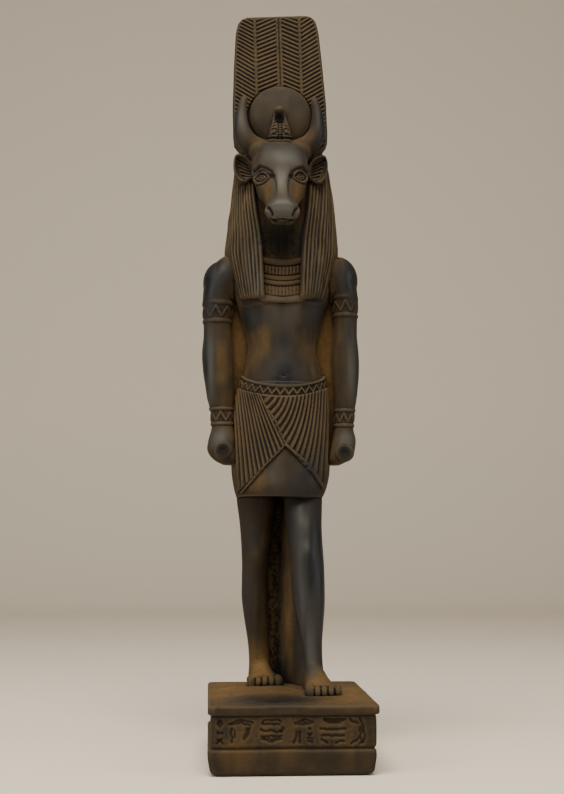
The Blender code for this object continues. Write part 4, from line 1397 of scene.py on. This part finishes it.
def stoneShare(points, flow, reaches, cell=1.0):
    # how much stone lies around each place: the solid inside the skins, blurred by a bell of each reach.
    # Each part is solved from its own normals as the potential whose gradient they are, and where parts
    # overlap the fullest one counts
    pad = 18.0
    low = points.min(axis=0) - pad
    size = [int(math.ceil(span / cell / 8) * 8) for span in points.max(axis=0) + pad - low]
    at = (points - low) / cell
    base = np.floor(at).astype(int)
    t = at - base
    corners = []
    for corner in np.ndindex(2, 2, 2):
        weight = np.prod(np.where(corner, t, 1 - t), axis=1)
        corners.append((np.ravel_multi_index(tuple((base + corner).T), size), weight))
    waves = np.meshgrid(
        2 * math.pi * np.fft.fftfreq(size[0], cell),
        2 * math.pi * np.fft.fftfreq(size[1], cell),
        2 * math.pi * np.fft.rfftfreq(size[2], cell),
        indexing="ij",
        sparse=True,
    )
    square = sum(wave**2 for wave in waves)
    square[0, 0, 0] = 1.0
    filled = np.zeros(size)
    for first, last, _, _ in spans.values():
        solid = 0
        for k in range(3):
            spread = 0
            for index, weight in corners:
                pull = weight[first:last] * flow[first:last, k]
                spread = spread + np.bincount(index[first:last], pull, math.prod(size))
            solid = solid + 1j * waves[k] * np.fft.rfftn(spread.reshape(size))
        part = np.fft.irfftn(solid / square / cell**3 * np.exp(-0.5 * 0.6**2 * square), size)
        filled = np.maximum(filled, np.clip(part - part[0, 0, 0], 0, 1))
    solid = np.fft.rfftn(filled)
    shares = []
    for reach in reaches:
        square[0, 0, 0] = 0.0
        field = np.fft.irfftn(solid * np.exp(-0.5 * reach**2 * square), size).ravel()
        shares.append(sum(weight * field[index] for index, weight in corners))
    return shares


# Each place: middle, reach each way, strength.
patina = {
    # blue-black, rubbed to a shine
    "rubbed": [
        ((-25.5, 34, 303), (2.5, 9, 17), 0.8),
        ((23, 34, 300), (3.5, 9, 17), 1.0),
        ((-40, 24, 212), (7, 12, 12), 1.0),
        ((-34, 26, 220), (7, 12, 7), 0.8),
        ((37, 26, 216), (5, 12, 9), 1.0),
        ((-17.5, 36, 194), (5, 9, 4.5), 1.0),
        ((19, 36, 199), (6, 9, 8), 0.7),
        ((0.8, 36, 178), (4.5, 9, 9), 0.9),
        ((0.8, 36, 167), (8, 9, 8), 1.0),
        ((0.8, 36, 161), (13, 9, 4), 0.9),
        ((-41, 26, 165), (3.5, 12, 24), 0.9),
        ((42, 26, 165), (3, 12, 24), 0.8),
        ((37, 28, 188), (2, 9, 8), 0.7),
        ((13, 42, 110), (8, 9, 9), 0.9),
        ((10, 42, 102), (14, 9, 4), 0.6),
        ((14, 46, 66), (7, 14, 36), 1.0),
        ((8, 36, 86), (6, 12, 20), 0.7),
        ((20, 40, 52), (4, 14, 52), 1.0),
        ((8, 44, 44), (2.2, 14, 34), 0.7),
        ((-7, 86, 0.5), (22, 16, 3), 1.0),
        ((-16, 25, 85), (6, 9, 22), 0.25),
        ((-18, 25, 50), (4, 9, 22), 0.35),
    ],
    # grey, rubbed to a satin, and in part a painted highlight on forehead, nose, shins, fists and wig
    "greyedAndHighlight": [
        ((-1.2, 48, 279), (11, 14, 8), 0.95),
        ((0, 37, 197), (11, 8, 11), 0.45),
        ((-1, 31, 309), (17, 5, 15), 0.25),
        ((-1.2, 55, 262), (4.0, 10, 14), 1.0),
        ((-1.2, 64, 246.5), (8, 9, 5.4), 1.0),
        ((-21, 36, 305), (3, 6, 12), 0.5),
        ((20, 36, 312), (2.5, 6, 7), 0.15),
        ((-39, 30, 166), (2.6, 9, 20), 0.9),
        ((38, 30, 166), (2.6, 9, 20), 0.6),
        ((-16, 44, 218), (5, 6, 14), 0.8),
        ((18, 44, 218), (5, 6, 14), 0.5),
        ((9.5, 48, 50), (2.2, 14, 48), 0.6),
        ((13.6, 52, 24), (2.8, 14, 20), 1.0),
        ((-33.5, 34, 130), (6, 8, 6), 0.6),
        ((34.5, 34, 129), (6, 8, 6), 0.55),
        ((-4, 40, 112), (5, 9, 9), 0.4),
    ],
    # yellow-brown, where dust lies
    "dusty": [
        ((0, 20, 185), (36, 5, 60), 1.0),
        ((4, 26, 60), (4, 9, 60), 0.4),
        ((0, 40, -1), (70, 70, 2.6), 1.0),
        ((-11, 25, 12), (10, 25, 12), 0.8),
        ((15, 62, 6), (10, 25, 8), 0.6),
        ((-8.5, 50, 258), (4, 12, 8), 0.35),
        ((6.5, 50, 258), (4, 12, 8), 0.45),
        ((0, 38, 213), (12, 5, 14), 0.5),
        ((-12, 33, 181), (7, 8, 13), 0.2),
        ((12, 33, 181), (7, 8, 13), 0.15),
        ((-30, 24, 172), (3, 9, 30), 0.1),
        ((30, 24, 172), (3, 9, 30), 0.2),
        ((-12, 41, 106), (14, 9, 7), 0.25),
    ],
    # painted shade: nearly black spots that darken the recess, throat, underside of the muzzle, eye sockets,
    # ears, fists and band grounds, and some broad faces such as forehead and disk
    "paintedShade": [
        ((-4, 20, 55), (4.4, 13, 60), 0.3),
        ((-1.2, 46, 281), (13, 14, 8), 0.75),
        ((-12.0, 47, 265.9), (6, 8, 4.4), 0.3),
        ((9.0, 47, 266.6), (6, 8, 4.4), 0.3),
        ((-17.5, 36, 195), (7, 9, 6), 0.25),
        ((19, 36, 199), (7, 9, 8), 0.2),
        ((-1, 31, 306), (19, 5, 18), 0.26),
        ((20, 34, 300), (6, 9, 18), 0.55),
        ((12, 38, 90), (14, 14, 16), 0.75),
        ((-40, 26, 216), (9, 14, 18), 0.35),
        ((38, 26, 216), (9, 14, 18), 0.5),
        ((-1.5, 24, 6), (5.5, 12, 8), 0.9),
        ((-1, 22, 100), (9, 14, 6), 0.8),
        ((-1, 36, 238), (12, 12, 8), 0.9),
        ((-1.2, 62, 237.4), (9, 9, 2.6), 0.95),
        ((-1.4, 34, 303.4), (3.0, 6, 2.6), 1.0),
        ((-12.6, 48, 269.4), (5, 8, 1.9), 0.55),
        ((9.8, 48, 270.4), (5, 8, 1.9), 0.55),
        ((-6.4, 50, 265.4), (1.7, 8, 3), 0.6),
        ((4.3, 50, 266.0), (1.7, 8, 3), 0.6),
        ((-34.5, 29, 198.6), (9, 6, 3.6), 0.35),
        ((35.5, 29, 202.4), (9, 6, 3.6), 0.35),
        ((-31.5, 29, 142.0), (6, 6, 3), 0.3),
        ((34.0, 29, 141.4), (6, 6, 3), 0.3),
        ((-16.8, 31, 277), (5, 6, 6), 0.45),
        ((17.6, 31, 277), (5, 6, 6), 0.45),
        ((-31.0, 31, 123.6), (3.0, 5, 3.0), 0.65),
        ((33.3, 31, 122.6), (2.8, 5, 2.8), 0.8),
    ],
}


def strongest(places):
    # the largest of the places' soft spots at each point
    total = np.zeros(len(skinPoints))
    for middle, reach, strength in places:
        total = np.maximum(total, strength * blob(middle, reach))
    return total


def patinate():
    # the finish at each point of the skin, 0 to 1: creases are read from how far a point lies below its
    # neighbours, and broader hollows from how much stone is near. The shade layer is painted shade, and the
    # grey layer partly a painted highlight
    start, end = skinQuads.ravel(), np.roll(skinQuads, -1, axis=1).ravel()
    number = np.bincount(start, minlength=len(skinPoints))

    def neighbours(values):
        return np.bincount(start, values[end], len(skinPoints)) / number

    flow = areaNormals(skinPoints, skinQuads)
    normal = flow / np.linalg.norm(flow, axis=1)[:, None]
    mean = np.stack([neighbours(column) for column in skinPoints.T], axis=1)
    below = ((mean - skinPoints) * normal).sum(axis=1)
    for _ in range(3):
        below = 0.5 * below + 0.5 * neighbours(below)
    crease = np.clip(below / 0.022, -1, 1)
    fine, middling, broad = stoneShare(skinPoints, flow, (1.2, 3.5, 11.0))
    groove = np.clip((fine - 0.5) * 6, -1, 1)
    hollow = np.clip((middling - 0.5) * 3.5, -1, 1)
    deep = np.clip((broad - 0.45) * 3, -1, 1)
    patches = 0.6 * lumps(skinPoints, 11.0, 31) + 0.4 * lumps(skinPoints, 4.5, 32)
    streaks = lumps(skinPoints * [1, 1, 0.22], 2.4, 33)
    exposed = 1 - 0.9 * np.maximum(crease, 0) - 0.7 * np.maximum(groove, 0) - 0.6 * np.maximum(hollow, 0)
    facing = softStep(-0.25, 0.15, normal[:, 1])
    reached = np.clip(exposed, 0, 1) * facing
    polish = np.clip(strongest(patina["rubbed"]) * (1.15 + 0.4 * patches + 0.2 * streaks), 0, 1) * reached
    # the grey rub, partly a painted highlight
    greyedAndHighlight = np.clip(strongest(patina["greyedAndHighlight"]) * (1.05 + 0.3 * patches + 0.2 * streaks), 0, 1) * reached
    dust = 0.15 + 0.2 * patches + 0.12 * streaks + 0.75 * strongest(patina["dusty"])
    dust = np.clip(dust + 0.3 * hollow + 0.2 * normal[:, 2] - 0.8 * polish - 0.5 * greyedAndHighlight, 0, 1)
    # painted shade: dark in cut lines, creases, fine grooves and deep hollows, and in the painted shade spots
    shade = 0.6 * cutDepth + 0.95 * np.maximum(crease, 0) + 0.45 * np.maximum(groove, 0)
    shade = np.clip(shade + 0.5 * np.clip(deep, 0, 1) + strongest(patina["paintedShade"]), 0, 1)
    tips = np.clip(-crease - 0.12, 0, 1) * (1 - polish)
    band = softStep(plinthFront - 4, plinthFront - 3, skinPoints[:, 1]) * softStep(-1, -4, skinPoints[:, 2])
    tips *= 1 - 0.7 * band
    shade *= 1 - 0.3 * band
    return {"dust": dust, "polish": polish, "greyedAndHighlight": greyedAndHighlight, "shade": shade, "tips": tips}


def thinOut(name, layers):
    # a part's skin as a mesh in metres with its finish, thinned to the triangles it may have
    firstPoint, lastPoint, firstQuad, lastQuad = spans[name]
    mesh = bpy.data.meshes.new("skin")
    room = toRoom(skinPoints[firstPoint:lastPoint])
    room[:, 2] = np.maximum(room[:, 2], 0.0)
    mesh.vertices.add(len(room))
    mesh.vertices.foreach_set("co", room.ravel())
    turned = np.ascontiguousarray(skinQuads[firstQuad:lastQuad, ::-1]) - firstPoint
    mesh.loops.add(turned.size)
    mesh.loops.foreach_set("vertex_index", turned.ravel())
    mesh.polygons.add(len(turned))
    mesh.polygons.foreach_set("loop_start", np.arange(0, turned.size, 4))
    mesh.update()
    for layerName, values in layers.items():
        layer = mesh.attributes.new(layerName, "FLOAT", "POINT")
        layer.data.foreach_set("value", np.ascontiguousarray(values[firstPoint:lastPoint], np.float32))
    full = newObject("skin", mesh)
    thin = full.modifiers.new("thinned", "DECIMATE")
    thin.ratio = min(statue["parts"][name][1] / (2 * len(turned)), 1.0)
    thinned = takeMesh(full)
    thinned.name = name
    thinned.polygons.foreach_set("use_smooth", np.ones(len(thinned.polygons), bool))
    say(f"{name} has {len(thinned.polygons)} faces, thinned from {len(turned)}")
    return newObject(name, thinned)


say("laying dust and polish")
layers = patinate()
pieces = [thinOut(name, layers) for name in statue["parts"]]


def linear(hexColour):
    # an sRGB hex colour as linear light
    parts = [int(hexColour[k : k + 2], 16) / 255 for k in (1, 3, 5)]
    return tuple(p / 12.92 if p <= 0.04045 else ((p + 0.055) / 1.055) ** 2.4 for p in parts) + (1.0,)


def addNode(tree, kind, settings=None, **links):
    # adds a node, sets its properties and its sockets' values, and links its inputs. A number names an
    # input by its order
    node = tree.nodes.new(kind)
    for key, value in (settings or {}).items():
        if isinstance(key, str) and hasattr(node, key):
            setattr(node, key, value)
        else:
            node.inputs[key].default_value = value
    for key, source in links.items():
        name = int(key[5:]) if key.startswith("input") else key
        tree.links.new(source, node.inputs[name])
    return node


# Moulded cast stone: a resin and stone-dust casting, stained dark brown, wiped so that a dusty
# yellow-brown stays in its hollows, and rubbed to a blue-black shine where hands reach it. Creases, cut lines
# and hollows also carry painted shade, and the grey rub a painted highlight.
castStone = {
    # the bare stain, its warmer patches, then the finishes laid over it by their layers: dust, pale tips, the
    # grey rub with its painted highlight, polish, and painted shade
    "ground": "#1e180f",
    "earth": "#2d2412",
    "dust": "#6a512b",
    "polish": "#16181b",
    # the grey rub, also a painted highlight
    "greyedAndHighlight": "#474640",
    # painted shade for creases, cut lines and hollows
    "shade": "#070401",
    "tips": "#4f432e",
    # size in millimetres, detail and roughness of two patterns: the casting's grain, coarser than real
    # stone dust so that it shows from here, and patches of warmer stain
    "grit": (0.7, 3.0, 0.6),
    "blotch": (6.0, 5.0, 0.62),
    "bumpMillimetres": 0.3,
    "roughMatt": 0.86,
    "roughGreyed": 0.56,
    "roughPolished": 0.4,
    "ior": 1.5,
    "specular": 0.3,
}


def mixColour(tree, factor, first, second):
    # goes from the first colour to the second by the factor
    node = addNode(tree, "ShaderNodeMix", {"data_type": "RGBA"})
    for socket, source in ((0, factor), (6, first), (7, second)):
        if isinstance(source, (int, float, tuple)):
            node.inputs[socket].default_value = source
        else:
            tree.links.new(source, node.inputs[socket])
    return node.outputs[2]


def makeCastStone():
    # the stain, and over it dust, pale tips, grey rub with its painted highlight, polish and painted shade,
    # each by its own layer
    stone = bpy.data.materials.new("mouldedCastStone")
    stone.use_nodes = True
    tree = stone.node_tree
    tree.nodes.clear()
    place = addNode(tree, "ShaderNodeTexCoord").outputs["Object"]
    noises = []
    for millimetres, detail, roughness in (castStone["grit"], castStone["blotch"]):
        settings = {"Scale": 1000 / millimetres / 2, "Detail": detail, "Roughness": roughness}
        noises.append(addNode(tree, "ShaderNodeTexNoise", settings, Vector=place).outputs["Fac"])
    grit, blotch = noises
    layers = {
        name: addNode(tree, "ShaderNodeAttribute", {"attribute_name": name}).outputs["Fac"]
        for name in ("dust", "polish", "greyedAndHighlight", "shade", "tips")
    }
    spread = addNode(tree, "ShaderNodeMapRange", {1: 0.32, 2: 0.68}, input0=blotch).outputs[0]
    ground = mixColour(tree, spread, linear(castStone["ground"]), linear(castStone["earth"]))
    speck = addNode(tree, "ShaderNodeMapRange", {1: 0.3, 2: 0.7, 3: 0.75, 4: 1.25}, input0=grit).outputs[0]
    product = {"operation": "MULTIPLY", "use_clamp": True}
    dustHere = addNode(tree, "ShaderNodeMath", product, input0=layers["dust"], input1=speck).outputs[0]
    colour = mixColour(tree, dustHere, ground, linear(castStone["dust"]))
    # pale tips, the grey rub with its painted highlight, the polish, then the painted shade, laid over in turn
    for name in ("tips", "greyedAndHighlight", "polish", "shade"):
        colour = mixColour(tree, layers[name], colour, linear(castStone[name]))
    matt, polished = {3: castStone["roughMatt"], 4: castStone["roughGreyed"]}, {4: castStone["roughPolished"]}
    satin = addNode(tree, "ShaderNodeMapRange", matt, input0=layers["greyedAndHighlight"]).outputs[0]
    rough = addNode(tree, "ShaderNodeMapRange", polished, input0=layers["polish"], input3=satin).outputs[0]
    relief = {"Strength": 0.25, "Distance": castStone["bumpMillimetres"] / 1000}
    bump = addNode(tree, "ShaderNodeBump", relief, Height=grit).outputs["Normal"]
    shader = addNode(
        tree,
        "ShaderNodeBsdfPrincipled",
        {"IOR": castStone["ior"], "Specular IOR Level": castStone["specular"], "Metallic": 0.0},
        **{"Base Color": colour, "Roughness": rough, "Normal": bump},
    )
    output = addNode(tree, "ShaderNodeOutputMaterial")
    tree.links.new(shader.outputs[0], output.inputs[0])
    return stone


stone = makeCastStone()
for piece in pieces:
    piece.data.materials.clear()
    piece.data.materials.append(stone)
    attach(piece, "root")
    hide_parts("montu_statue")

say("setting the studio")
studio = {
    # rolled matt paper: no shine, so that floor and wall stay pale and plain
    "floorColour": "#efe6d7",
    "floorRoughness": 0.9,
    "sweepFront": 2.0,
    "sweepBack": 1.7,
    "sweepHeight": 1.7,
    "sweepRadius": 0.35,
    "sweepWidth": 5.0,
    "worldColour": "#f3ead9",
    "worldStrength": 0.19,
    # name: place, aim, width, height, watts, colour
    "lights": {
        "leftWindow": ((-1.0, -0.65, 0.55), (0, 0, 0.2), 0.6, 1.0, 7.0, "#eef2ff"),
        "rightWindow": ((1.05, -0.45, 0.50), (0, 0, 0.2), 0.5, 0.9, 4.3, "#eef2ff"),
        "overhead": ((-0.1, -0.52, 1.2), (0, 0, 0.2), 0.8, 0.6, 21.0, "#fff3df"),
    },
}


def makeSweep():
    # floor and wall in one sheet: flat, then a quarter circle, then upright
    bend, back = studio["sweepRadius"], studio["sweepBack"]
    angle = np.linspace(0, math.pi / 2, 24)
    depth = np.concatenate([[-studio["sweepFront"], 0.0], back - bend + bend * np.sin(angle), [back]])
    height = np.concatenate([[0, 0], bend - bend * np.cos(angle), [studio["sweepHeight"]]])
    across = np.array([-0.5, 0.5]) * studio["sweepWidth"]
    sheet = np.broadcast_arrays(across[None], depth[:, None], height[:, None])
    points = np.stack(sheet, axis=-1).reshape(-1, 3)
    rows = np.arange(len(depth) - 1)
    faces = np.stack([2 * rows, 2 * rows + 1, 2 * rows + 3, 2 * rows + 2], axis=1)
    mesh = bpy.data.meshes.new("paperSweep")
    mesh.from_pydata(points, [], faces.tolist())
    mesh.polygons.foreach_set("use_smooth", np.ones(len(faces), bool))
    sweepSheet = newObject("paperSweep", mesh)
    paper = bpy.data.materials.new("mattPaper")
    paper.use_nodes = True
    shader = paper.node_tree.nodes["Principled BSDF"]
    shader.inputs["Base Color"].default_value = linear(studio["floorColour"])
    shader.inputs["Roughness"].default_value = studio["floorRoughness"]
    mesh.materials.append(paper)


def makeLights():
    # a soft window each side, a soft light overhead, and a dim even room
    for name, (place, aim, wide, tall, watts, colour) in studio["lights"].items():
        light = bpy.data.lights.new(name, "AREA")
        light.shape = "RECTANGLE"
        light.size, light.size_y = wide, tall
        light.energy = watts
        light.color = linear(colour)[:3]
        lamp = newObject(name, light)
        lamp.location = place
        lamp.rotation_euler = (Vector(aim) - Vector(place)).to_track_quat("-Z", "Y").to_euler()
    world = bpy.data.worlds.new("softRoom")
    world.use_nodes = True
    sky = world.node_tree.nodes["Background"]
    sky.inputs[0].default_value = linear(studio["worldColour"])
    sky.inputs[1].default_value = studio["worldStrength"]
    bpy.context.scene.world = world


camera = {
    "place": (-0.0403, -0.6573, 0.1076),
    "tiltDegrees": 6.483,
    "turnDegrees": 3.264,
    "focalPixels": 1280.0,
    "frameTall": 794.0,
    "sensor": 36.0,
}


def makeCamera():
    # the photograph's own view: its focal length in pixels over the frame's longer side
    lens = bpy.data.cameras.new("photoView")
    lens.sensor_width = camera["sensor"]
    lens.lens = camera["focalPixels"] / camera["frameTall"] * camera["sensor"]
    lens.clip_start = 0.01
    eye = newObject("photoView", lens)
    eye.location = camera["place"]
    eye.rotation_euler = (math.radians(90 + camera["tiltDegrees"]), 0, -math.radians(camera["turnDegrees"]))
    bpy.context.scene.camera = eye


makeSweep()
makeLights()
makeCamera()

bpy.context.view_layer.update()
say("done")
